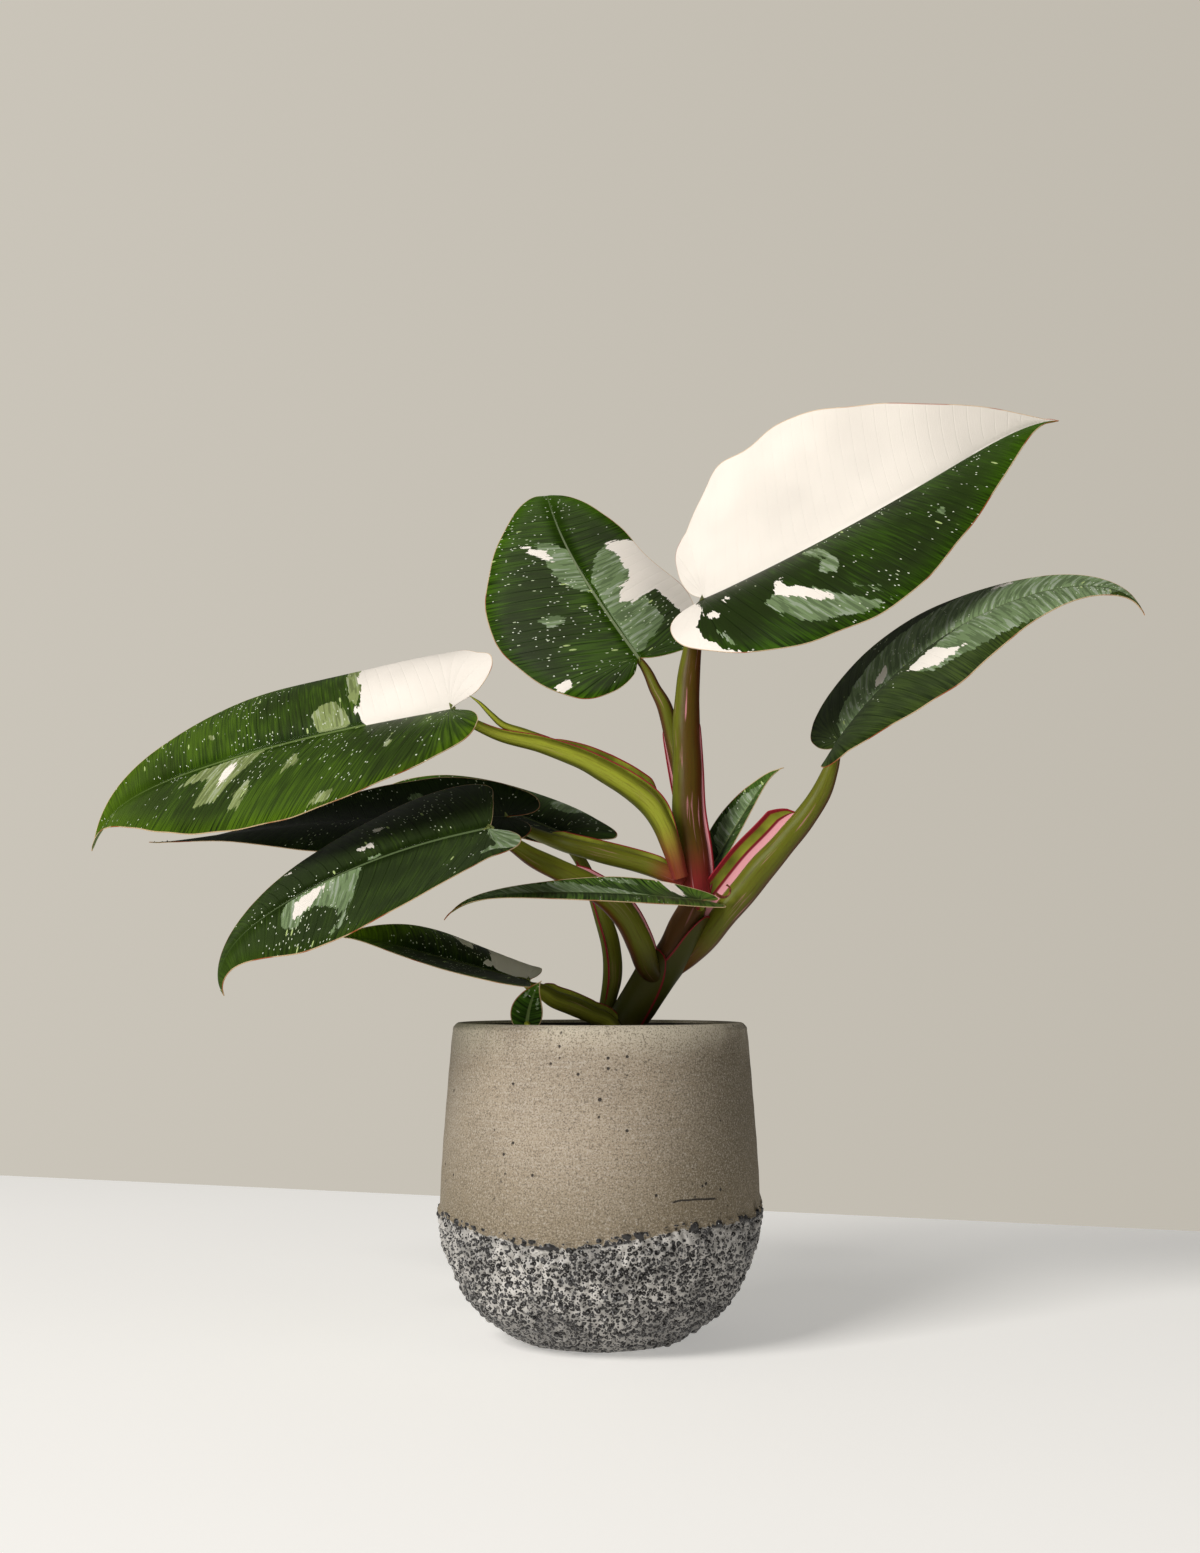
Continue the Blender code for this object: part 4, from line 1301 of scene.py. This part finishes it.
GLAZE_SAG = 7.6  # millimetres, at the angle below, in degrees anticlockwise from +X
GLAZE_SAG_AT = -107
GLAZE_SAG_WIDTH = 38
SIDE_SHADE_TONES = paint(88, 80, 58), paint(118, 108, 84)  # painted shade on the pot's sides, darkest on the right
# Colour of the painted shade low on the sandy glaze, near the line between the glazes.
LOW_SHADE = paint(168, 150, 116)
PORE = paint(30, 24, 20)
# Painted shade inside the pot, below the rim.
INNER_SHADE = paint(26, 21, 17)
LAVA_WARP = 0.0008  # metres that the lava's blobs are pushed out of round


def pot_profile():
    """(radius, height) rings in millimetres, close together where the glaze is blistered."""
    corners = POT_OUTSIDE + POT_RIM + POT_INSIDE
    fine = curve_through(corners, np.linspace(0, 1, PROFILE_READINGS))
    travelled = travelled_along(fine)

    def reached(number):
        return travelled[int(PROFILE_READINGS * (number - 1) / (len(corners) - 1))]

    outside_end, rim_end = reached(len(POT_OUTSIDE)), reached(len(POT_OUTSIDE + POT_RIM))
    marks, at = [], 0.0
    while at < travelled[-1]:
        marks.append(at)
        height = np.interp(at, travelled, fine[:, 1])
        if at < outside_end:
            at += FINE_STEP if height < LAVA_TOP else GLAZE_STEP
        else:
            at += FINE_STEP if at < rim_end + 4 else INSIDE_STEP
    marks.append(travelled[-1])
    return read_rows(marks, travelled, fine)


def glaze_line(angle, settings):
    """Height of the line between the glazes at each angle: it wanders, and sags near the front."""
    off = (angle - math.radians(GLAZE_SAG_AT) + math.pi) % (2 * math.pi) - math.pi
    sag = GLAZE_SAG * np.exp(-((off / math.radians(GLAZE_SAG_WIDTH)) ** 2))
    wander = 0.45 * np.sin(5 * angle + 1) + 0.35 * np.sin(11 * angle) + 0.25 * np.sin(23 * angle + 2)
    return settings.glaze_line / MM - sag + wander


def throw_pot(settings):
    """Turns the pot up from its foot ring by ring, then blisters its lower half."""
    rings = pot_profile()
    foot = rings[0][0] * MM
    pot = add_primitive("circle", "stoneware_pot", vertices=POT_SIDES, radius=foot, fill_type="NGON")
    bpy.ops.object.mode_set(mode="EDIT")
    bpy.ops.mesh.select_all(action="DESELECT")
    bpy.ops.mesh.select_mode(type="EDGE")
    bpy.ops.mesh.select_non_manifold()
    for (radius, height), (before, below) in zip(rings[1:], rings):
        rise = (0, 0, (height - below) * MM)
        bpy.ops.mesh.extrude_edges_move(TRANSFORM_OT_translate={"value": rise})
        widen = (radius / before, radius / before, 1)
        bpy.ops.transform.resize(value=widen, center_override=(0, 0, 0))
    bpy.ops.mesh.edge_face_add()
    bpy.ops.mesh.select_all(action="SELECT")
    bpy.ops.mesh.normals_make_consistent(inside=False)
    bpy.ops.object.mode_set(mode="OBJECT")
    blister(pot, settings)
    shade(pot, 70)
    hand_over(pot, "pot", "stoneware", pot_finish(settings))


def scattered_blisters(settings):
    """Seeded blister centres over the lower outside of the pot, with a radius for each."""
    random = np.random.default_rng(BLISTER_SEED)
    fine = curve_through(POT_OUTSIDE, np.linspace(0, 1, 600))
    fine = fine[fine[:, 1] < settings.glaze_line / MM + 6]
    lengths = np.linalg.norm(np.diff(fine, axis=0), axis=1)
    areas = lengths * 2 * math.pi * fine[1:, 0]
    number = int(areas.sum() / BLISTER_SPACING**2 * BLISTER_CROWDING)
    rows = random.choice(len(areas), number, p=areas / areas.sum())
    angles = random.uniform(-math.pi, math.pi, number)
    radius, height = fine[1:][rows].T
    centres = np.stack([radius * np.cos(angles), radius * np.sin(angles), height], -1)
    sizes = np.clip(random.lognormal(0.05, 0.34, number), 0.6, 1.9)
    edge_angles = random.uniform(-math.pi, math.pi, EDGE_BLISTERS)
    edge_heights = glaze_line(edge_angles, settings) + random.normal(-0.8, 1.3, EDGE_BLISTERS)
    edge_radius = np.interp(edge_heights, fine[:, 1], fine[:, 0])
    x, y = edge_radius * np.cos(edge_angles), edge_radius * np.sin(edge_angles)
    centres = np.vstack([centres, np.stack([x, y, edge_heights], -1)])
    return centres, np.concatenate([sizes, random.uniform(0.95, 1.45, EDGE_BLISTERS)])


def blister(pot, settings):
    """Raises blisters out of the lava glaze, marks which glaze each point has and marks the inside of the
    wall for painted shade.
    """
    points, normals = read_points(pot, "co") / MM, read_points(pot, "normal")
    angle = np.arctan2(points[:, 1], points[:, 0])
    radius = np.hypot(points[:, 0], points[:, 1])
    wall_radii, wall_heights = np.array(POT_OUTSIDE).T
    outer = np.interp(points[:, 2], wall_heights, wall_radii)
    outside = (radius > outer - 2.5) & (radius > wall_radii[0] - 0.5)
    below = np.where(outside, glaze_line(angle, settings) - points[:, 2], -20)
    centres, sizes = scattered_blisters(settings)
    tree = KDTree(len(centres))
    for i, centre in enumerate(centres):
        tree.insert(centre, i)
    tree.balance()
    dome = np.zeros(len(points))
    for i in np.flatnonzero(below > -3):
        for _, j, distance in tree.find_n(points[i], 3):
            fall = (distance / (BLISTER_SPREAD * sizes[j])) ** 2
            dome[i] = max(dome[i], sizes[j] * math.sqrt(max(1 - fall, 0)))
    zone = np.maximum(eased(below, -0.4, 1.4), eased(dome, 0.3, 0.9) * (below > -3))
    zone = zone * eased(points[:, 2], 0.3, 3)
    swell = 0.35 * np.sin(points[:, 0] * 0.9) * np.sin(points[:, 1] * 0.8 + 1)
    swell = swell * np.sin(points[:, 2] * 0.7)
    lift = settings.blister / MM * zone * (dome - 0.55 * (below > 0.8) + swell)
    throwing = 0.07 * np.sin(points[:, 2] * 2.1) * outside * eased(-below, 0, 4)
    set_points(pot, (points + normals * (lift + throwing)[:, None]) * MM)
    set_attribute(pot, "below", below)
    set_attribute(pot, "dome", dome)
    # The inside of the wall, which the finish paints dark as shade.
    inside = ~outside & (points[:, 2] > POT_INSIDE[-1][1] - 1)
    inside = inside & (radius < 66.5) & (points[:, 2] < 145.8)
    set_attribute(pot, "inside", inside.astype(float))


def pot_finish(settings):
    """Two glazes on one clay body: sandy with open pores above, blistered lava below."""
    finish = Finish("stoneware", IOR=1.5)
    place = finish.place()
    x, y, z = finish.split(place)
    below, dome = finish.attribute("below"), finish.attribute("dome")

    ragged = finish.noise(place, 330.0, 3.0) - 0.5
    crossing = dome.ease(0.85, 1.0) * below.ease(-3.2, -2.8)
    lava = (below + ragged * 4.0).ease(-0.25, 0.25).higher(crossing)
    sand = finish.noise(place, 1300.0, 2.0, 0.8)
    cloud = finish.noise(place, 22.0, 3.0)
    bands = finish.noise(finish.join(x * 40.0, y * 40.0, z * 1250.0), 1.0, 3.0, 0.7)
    sands = [(0.3, darker(settings.sand, 0.22)), (0.5, settings.sand)]
    glaze = finish.ramp(cloud, [*sands, (0.75, lighter(settings.sand, 0.05))])
    glaze = finish.mix(bands.ease(0.48, 0.64) * 0.28, glaze, lighter(settings.sand, 0.24))
    glaze = finish.mix(bands.ease(0.46, 0.32) * 0.18, glaze, darker(settings.sand, 0.5))
    # Painted shade: the glaze darkens towards the right side of the pot and, less, towards the left.
    painted_side_shade = (x / MM + cloud * 12).ease(4, 74) * 0.8 + (x / MM).ease(-34, -76) * 0.42
    glaze = finish.mix(painted_side_shade, glaze, finish.mix(sand, *SIDE_SHADE_TONES))
    # The rim: where the glaze runs thin, made lighter as a painted highlight.
    rim_glaze_and_highlight = (z / MM).ease(128, 146.5)
    glaze = finish.mix(rim_glaze_and_highlight * cloud.ease(0.3, 0.6) * 0.8, glaze, settings.rim)
    # Painted shade: the sandy glaze darkens towards its lower edge.
    glaze = finish.mix(below.ease(-52, 0) * 0.72, glaze, darker(LOW_SHADE, 0.45))
    glaze = finish.mix(sand.ease(0.52, 0.66) * 0.42, glaze, lighter(settings.sand, 0.42))
    glaze = finish.mix(sand.ease(0.47, 0.38) * 0.72, glaze, darker(settings.sand, 0.76))
    hole_distance, hole_chance = finish.cells(place, 240.0)
    crowd = finish.noise(place, 32.0, 1.0)
    holes = hole_distance.ease(0.2, 0.1) * (hole_chance + (crowd - 0.5) * 2.4).ease(0.95, 0.99)
    pits_distance, pits_chance = finish.cells(place, 105.0)
    open_pores = holes.higher(pits_distance.ease(0.1, 0.06) * pits_chance.ease(0.84, 0.86))
    crack_x, crack_z, crack_half = CRACK
    along = (x / MM - crack_x) / crack_half
    drift = abs(z / MM - crack_z + along * along * 0.9 - finish.noise(place, 150.0, 2.0) * 1.4)
    crack = drift.ease(0.5, 0.2) * abs(along).ease(1.0, 0.85) * y.ease(0.0, -0.001)
    open_pores = open_pores.higher(crack)
    glaze = finish.mix(open_pores * 0.92, glaze, PORE)
    # Painted shade inside the pot.
    glaze = finish.mix(finish.attribute("inside").ease(0.4, 0.8), glaze, INNER_SHADE)

    warp = finish.noise(place, 240.0, 2.0)
    bent = finish.vector("MULTIPLY", finish.join(warp, warp, warp), (LAVA_WARP, LAVA_WARP, LAVA_WARP))
    bent = finish.vector("ADD", place, bent)
    big, big_tone = finish.cells(bent, 430.0)
    small, small_tone = finish.cells(bent, 800.0)
    patches = finish.noise(place, 62.0, 3.0, 0.6)
    crust = patches.ease(0.40, 0.62) * below.ease(14, 2)
    big_size = 0.4 + big_tone * 0.2 - crust * 0.14
    small_size = 0.4 - crust * 0.17
    big_ball = (big_size - big).ease(-0.03, 0.04)
    small_ball = (small_size - small).ease(-0.03, 0.04)
    dark = big_ball.higher(small_ball)
    # Pale centres in the big blisters: partly the pale glaze inside real craters, partly a painted highlight.
    crater_and_glint = big.ease(0.19, 0.10) * big_tone.ease(0.3, 0.35)
    darks = [(0.0, darker(settings.lava_dark, 0.6)), (0.6, settings.lava_dark)]
    dark_colour = finish.ramp(small_tone, [*darks, (1.0, lighter(settings.lava_dark, 0.12))])
    dark_colour = finish.mix(crater_and_glint * 0.75, dark_colour, settings.lava_pale)
    dull = darker(settings.lava_pale, 0.5)
    pale_colour = finish.mix(patches.ease(0.36, 0.6), dull, settings.lava_pale)
    lava_colour = finish.mix(dark, pale_colour, dark_colour)
    edge_blister = dome.ease(0.9, 1.0) * below.ease(2, 0.5)
    lava_colour = finish.mix(edge_blister, lava_colour, darker(settings.lava_dark, 0.3))
    # Painted shade on the lava glaze: darker towards both sides and towards the foot.
    painted_lava_shade = painted_side_shade * 0.5 + (z / MM).ease(34, 4) * 0.42
    lava_colour = finish.mix(painted_lava_shade.lower(0.8), lava_colour, darker(settings.lava_dark, 0.2))
    finish.set("Base Color", finish.mix(lava, glaze, lava_colour))

    finish.set("Roughness", (0.62 + sand * 0.12) * (1 - lava) + (0.4 - dark * 0.27) * lava)
    big_height = (big_size - big).higher(0.0) * 3.0 - crater_and_glint * 0.6
    lava_height = big_height.higher((small_size - small).higher(0.0) * 1.4)
    lava_height = lava_height + finish.noise(place, 1500.0) * 0.2
    glaze_height = sand * 0.2 + bands * 0.18 - open_pores * 0.9
    finish.bump(lava_height * lava + glaze_height * (1 - lava), 0.8 * MM, 1.0)
    return finish.material


# ---------------------------------------------------------------- potting mix and dried scale

CHIP_COUNT = 420
PEARL_COUNT = 90
MIX_SEED = 5
MIX_RADIUS = 62.6
MIX_DEPTH = 12
MIX_LEVEL = 132  # height of its surface at the wall
ROOTED = ("main_stem", "petiole_back", "petiole_low", "petiole_tiny")
PEAT = [(0.3, paint(30, 22, 16)), (0.6, paint(64, 48, 36)), (0.8, paint(96, 74, 54))]
BARK = [(0.3, paint(58, 36, 24)), (0.55, paint(112, 76, 50)), (0.8, paint(150, 112, 78))]
PERLITE = [(0.35, paint(196, 190, 178)), (0.6, paint(238, 234, 226))]
DRY_SHEATH = [(0.3, paint(70, 26, 14)), (0.55, paint(132, 62, 34)), (0.8, paint(176, 104, 62))]


def mix_height(x, y):
    """Height of the mix's surface in millimetres at a place."""
    radius = np.hypot(x, y) / 63
    return MIX_LEVEL + 2.2 * (1 - radius) + 0.8 * (np.sin(x * 0.31 + 1) + np.sin(y * 0.27) * np.cos(x * 0.17))


def fill_mix():
    """A lumpy disc under scattered bark chips and white grains of perlite."""
    rings, sides = 60, 160
    bed, ring, side = grid_sheet("mix_bed", rings, sides)
    radius = MIX_RADIUS * ring / rings
    angle = 2 * math.pi * side / sides
    x, y = radius * np.cos(angle), radius * np.sin(angle)
    lumps = 0.55 * np.sin(x * 1.9 + 2 * np.sin(y * 0.9)) * np.sin(y * 1.7)
    lumps = lumps + 0.3 * np.sin(x * 4.1) * np.sin(y * 3.7 + 1)
    set_points(bed, np.stack([x, y, mix_height(x, y) + lumps], -1) * MM)
    close_up(bed, merge=1e-6)
    edit(bed)
    bpy.ops.mesh.select_all(action="DESELECT")
    bpy.ops.mesh.select_non_manifold()
    bpy.ops.mesh.extrude_edges_move(TRANSFORM_OT_translate={"value": (0, 0, -MIX_DEPTH * MM)})
    bpy.ops.mesh.edge_face_add()
    bpy.ops.mesh.select_all(action="SELECT")
    bpy.ops.mesh.normals_make_consistent(inside=False)
    bpy.ops.object.mode_set(mode="OBJECT")
    chips = scatter_crumbs("bark", CHIP_COUNT, (1.2, 3.4), 0.45, MIX_SEED)
    pearls = scatter_crumbs("perlite", PEARL_COUNT, (0.9, 2.0), 0.85, MIX_SEED + 1)
    for part, kind in ((bed, 0.0), (chips, 0.5), (pearls, 1.0)):
        set_attribute(part, "kind", np.full(len(part.data.vertices), kind))
    mix = joined([bed, chips, pearls], "potting_mix_surface")
    shade(mix, 40)
    hand_over(mix, "potting_mix", "potting_mix", mix_finish())


def scatter_crumbs(name, number, sizes, flatness, seed):
    """Irregular crumbs lying on the mix, clear of the stems, joined into one mesh."""
    random = np.random.default_rng(seed)
    crumb = add_primitive("ico_sphere", name, subdivisions=1, radius=1)
    shape = np.array([vertex.co for vertex in crumb.data.vertices])
    faces = np.array([polygon.vertices for polygon in crumb.data.polygons])
    points, polygons = [], []
    lowest = [curve_through(STEMS[stem][:3], np.linspace(0, 1, 12)) for stem in ROOTED]
    near = np.vstack(lowest)
    near = near[np.abs(near[:, 2] - 134) < 9]
    while len(points) < number:
        radius, angle = 60 * math.sqrt(random.uniform()), random.uniform(0, 2 * math.pi)
        x, y = radius * math.cos(angle), radius * math.sin(angle)
        size = random.uniform(*sizes)
        if (np.hypot(near[:, 0] - x, near[:, 1] - y) < near[:, 3] + size).any():
            random.uniform()  # moves the sequence on, so that later crumbs keep their places
            continue
        turned = np.linalg.qr(random.normal(size=(3, 3)))[0]
        stretched = shape * random.uniform(0.7, 1.3, shape.shape)
        stretched = stretched * (size, size * random.uniform(0.5, 0.9), size * flatness)
        centre = np.array([x, y, float(mix_height(x, y)) + size * flatness * 0.35])
        limit = 62.4 - size
        centre[:2] *= min(1, limit / max(radius, 1e-6))
        polygons.append(faces + len(points) * len(shape))
        points.append(stretched @ turned.T * (1, 1, 0.8) + centre)
    mesh = bpy.data.meshes.new(name)
    mesh.from_pydata((np.vstack(points) * MM).tolist(), [], np.vstack(polygons).tolist())
    old = crumb.data
    crumb.data = mesh
    bpy.data.meshes.remove(old)
    close_up(crumb, merge=1e-9)
    return crumb


def mix_finish():
    """Peat, bark and perlite, told apart by the kind that each point holds."""
    finish = Finish("potting_mix", Roughness=0.92)
    place = finish.place()
    kind = finish.attribute("kind")
    peat = finish.ramp(finish.noise(place, 260.0, 3.0, 0.7), PEAT)
    bark = finish.ramp(finish.noise(place, 340.0, 3.0), BARK)
    white = finish.ramp(finish.noise(place, 900.0), PERLITE)
    colour = finish.mix(kind.ease(0.2, 0.3), peat, bark)
    finish.set("Base Color", finish.mix(kind.ease(0.7, 0.8), colour, white))
    finish.bump(finish.noise(place, 1200.0, 3.0), 0.6 * MM, 0.9)
    return finish.material


def dry_scale():
    """The dried, curled strip of an old sheath at the crown."""
    low, high = (np.array(corner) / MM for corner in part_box("dried_scale"))
    middle, half_width = (low + high) / 2, (high[1] - low[1]) / 2
    steps, columns = 48, 10
    strip, row, column = grid_sheet("dried_scale_strip", steps, columns)
    share, across = row / steps, column / columns * 2 - 1
    turn = np.radians(215 * share - 66)
    radius = 4.2 * (1 - 0.42 * share) + 0.35 * np.sin(across * 3 + share * 9)
    half = half_width * (1 - 0.55 * share) * (1 + 0.12 * np.sin(share * 23) * across)
    x = middle[0] + radius * np.sin(turn)
    y = middle[1] + half * across
    z = middle[2] - radius * np.cos(turn) + 0.5 * np.abs(across) ** 2
    set_points(strip, np.stack([x, y, z], -1) * MM)
    add_modifier(strip, "SOLIDIFY", thickness=0.4 * MM, offset=0)
    close_up(strip, merge=1e-7)
    shade(strip, 40)
    finish = Finish("dried_scale", Roughness=0.7)
    drawn_out = finish.vector("MULTIPLY", finish.place(), (900.0, 160.0, 900.0))
    fibre = finish.noise(drawn_out, 1.0, 3.0)
    finish.set("Base Color", finish.ramp(fibre, DRY_SHEATH))
    finish.bump(fibre, 0.4 * MM, 0.8)
    hand_over(strip, "dried_scale", "dried_scale", finish.material)


# ---------------------------------------------------------------- stage

CAMERA_DISTANCE = 0.9
CAMERA_HEIGHT = 0.1655
CAMERA_TILT = 6.278
TABLE_DEPTH = 0.545  # from the pot's middle to the table's far edge
TABLE_SKEW = -0.40  # how much nearer that edge is for each metre to the right
TABLE_HALF = 1.5
TABLE_FRONT = 2.0
TABLE_GLOW = 0.44  # stands in for the light that a whole white studio throws on it
WALL_FADE = 0.35  # how far round the wall goes on darkening, where 1 is a quarter turn
FILL_SHARE = 0.015  # the fill lamp's power as a share of the key lamp's
KEY_LAMP = (-2.1, -2.2, 2.3), 1.5, (1.0, 0.985, 0.965)  # where it hangs, its size and its colour
FILL_LAMP = (1.8, -1.6, 0.9), 1.8, (0.96, 0.98, 1.0)
SENSOR_WIDTH = 36
CROWN = 1.3  # height of the plant's crown, in heights of the pot


def set_stage(settings):
    """A white table that ends behind the pot, plain walls, two lamps and the camera."""
    table = add_primitive("plane", "table", size=2)
    corners = [(-TABLE_HALF, -TABLE_FRONT), (TABLE_HALF, -TABLE_FRONT)]
    corners += [(x, TABLE_DEPTH + TABLE_SKEW * x) for x in (-TABLE_HALF, TABLE_HALF)]
    set_points(table, [(x, y, 0) for x, y in corners])
    finish = Finish(
        "table", Roughness=0.8, Specular_IOR_Level=0.2, Emission_Strength=TABLE_GLOW
    )
    cloud = finish.noise(finish.place(), 3.0)
    surface = finish.mix(cloud * 0.05, settings.table, darker(settings.table, 0.5))
    finish.set("Base Color", surface)
    finish.set("Emission Color", surface)
    table.data.materials.append(finish.material)

    hang_walls(settings)
    add_lamp("key", settings.key_power, *KEY_LAMP)
    add_lamp("fill", settings.key_power * FILL_SHARE, *FILL_LAMP)

    data = bpy.data.cameras.new("camera")
    data.lens = settings.lens
    data.sensor_width = SENSOR_WIDTH
    data.sensor_fit = "AUTO"
    data.clip_start = 0.01
    camera = bpy.data.objects.new("camera", data)
    bpy.context.scene.collection.objects.link(camera)
    camera.location = (0, -CAMERA_DISTANCE, CAMERA_HEIGHT)
    camera.rotation_euler = (math.radians(90 + CAMERA_TILT), 0, 0)
    bpy.context.scene.camera = camera
    bpy.context.scene.view_settings.view_transform = "Standard"


def hang_walls(settings):
    """The studio round the table, seen a little darker to the right and lit mostly from the left."""
    world = bpy.data.worlds.new("studio")
    bpy.context.scene.world = world
    world.use_nodes = True
    studio = Nodes(world.node_tree)
    across = studio.split(studio.result("ShaderNodeTexCoord", output="Generated"))[0]
    span = {"Value": across, "From Min": -WALL_FADE, "From Max": WALL_FADE}
    fade = studio.result("ShaderNodeMapRange", {}, span)
    wall = studio.mix(fade, lighter(settings.wall, 0.04), darker(settings.wall, 0.09))
    seen = studio.result("ShaderNodeBackground", {}, {"Color": wall})
    span = {"Value": across, "From Min": -1.0}
    span["To Min"] = settings.room_light * 1.7
    span["To Max"] = settings.room_light * 0.3
    light = {"Color": (1.0, 0.97, 0.92), "Strength": studio.result("ShaderNodeMapRange", {}, span)}
    lit = studio.result("ShaderNodeBackground", {}, light)
    looked_at = studio.result("ShaderNodeLightPath", output="Is Camera Ray")
    both = studio.result("ShaderNodeMixShader", {}, {0: looked_at, 1: lit, 2: seen})
    surface = studio.tree.nodes["World Output"].inputs["Surface"]
    studio.tree.links.new(both.socket, surface)


def add_lamp(name, power, place, size, colour):
    """A square lamp aimed at the crown of the plant."""
    data = bpy.data.lights.new(name, "AREA")
    data.size = size
    data.energy = power
    data.color = colour
    lamp = bpy.data.objects.new(name, data)
    bpy.context.scene.collection.objects.link(lamp)
    lamp.location = place
    aim = Vector((0, 0, POT_HEIGHT * CROWN)) - lamp.location
    lamp.rotation_euler = aim.to_track_quat("-Z", "Y").to_euler()


# ---------------------------------------------------------------- operators and panel


class PHILODENDRON_OT_stage(bpy.types.Operator):
    """Lay the floor, hang the lamps and set up the camera"""

    bl_idname = "philodendron.stage"
    bl_label = "Set the stage"

    def execute(self, context):
        set_stage(context.scene.philodendron_stage)
        return {"FINISHED"}


class PHILODENDRON_OT_pot(bpy.types.Operator):
    """Throw the pot and glaze it"""

    bl_idname = "philodendron.pot"
    bl_label = "Throw the pot"

    def execute(self, context):
        throw_pot(context.scene.philodendron_pot)
        return {"FINISHED"}


class PHILODENDRON_OT_mix(bpy.types.Operator):
    """Fill the pot with bark, peat and perlite"""

    bl_idname = "philodendron.mix"
    bl_label = "Fill the pot"

    def execute(self, context):
        fill_mix()
        return {"FINISHED"}


class PHILODENDRON_OT_stalks(bpy.types.Operator):
    """Grow the stem and the leaf stalks"""

    bl_idname = "philodendron.stalks"
    bl_label = "Grow the stalks"

    def execute(self, context):
        for name in STEMS:
            grow_stalk(name, context.scene.philodendron_stalks)
        return {"FINISHED"}


class PHILODENDRON_OT_leaves(bpy.types.Operator):
    """Grow the leaf blades"""

    bl_idname = "philodendron.leaves"
    bl_label = "Grow the leaves"

    def execute(self, context):
        for name, leaf in LEAVES.items():
            grow_blade(name, leaf, context.scene.philodendron_leaves)
        return {"FINISHED"}


class PHILODENDRON_OT_scale(bpy.types.Operator):
    """Dry an old sheath at the crown"""

    bl_idname = "philodendron.scale"
    bl_label = "Dry a scale"

    def execute(self, context):
        dry_scale()
        return {"FINISHED"}


class PHILODENDRON_PT_panel(bpy.types.Panel):
    """Lists the steps"""

    bl_idname = "PHILODENDRON_PT_panel"
    bl_label = "Potted Philodendron"
    bl_space_type = "VIEW_3D"
    bl_region_type = "UI"
    bl_category = "Philodendron"

    def draw(self, context):
        for step in STEPS:
            self.layout.operator(step.bl_idname)
        for settings in GROUPS:
            box = self.layout.box()
            group = getattr(context.scene, settings)
            for name in group.bl_rna.properties.keys():
                if name not in ("rna_type", "name"):
                    box.prop(group, name)


STEPS = (
    PHILODENDRON_OT_stage,
    PHILODENDRON_OT_pot,
    PHILODENDRON_OT_mix,
    PHILODENDRON_OT_stalks,
    PHILODENDRON_OT_leaves,
    PHILODENDRON_OT_scale,
)
GROUPS = {
    "philodendron_leaves": PHILODENDRON_PG_leaves,
    "philodendron_stalks": PHILODENDRON_PG_stalks,
    "philodendron_pot": PHILODENDRON_PG_pot,
    "philodendron_stage": PHILODENDRON_PG_stage,
}


def register():
    """Adds the settings, the operators and the panel."""
    for group in (*GROUPS.values(), *STEPS, PHILODENDRON_PT_panel):
        bpy.utils.register_class(group)
    for name, group in GROUPS.items():
        setattr(bpy.types.Scene, name, PointerProperty(type=group))


def unregister():
    """Takes them away again."""
    for name in GROUPS:
        delattr(bpy.types.Scene, name)
    for group in (PHILODENDRON_PT_panel, *reversed(STEPS), *GROUPS.values()):
        bpy.utils.unregister_class(group)


def main():
    """Builds every piece in order."""
    register()
    bpy.ops.philodendron.stage()
    bpy.ops.philodendron.pot()
    bpy.ops.philodendron.mix()
    bpy.ops.philodendron.stalks()
    bpy.ops.philodendron.leaves()
    bpy.ops.philodendron.scale()


if __name__ == "__main__":
    main()
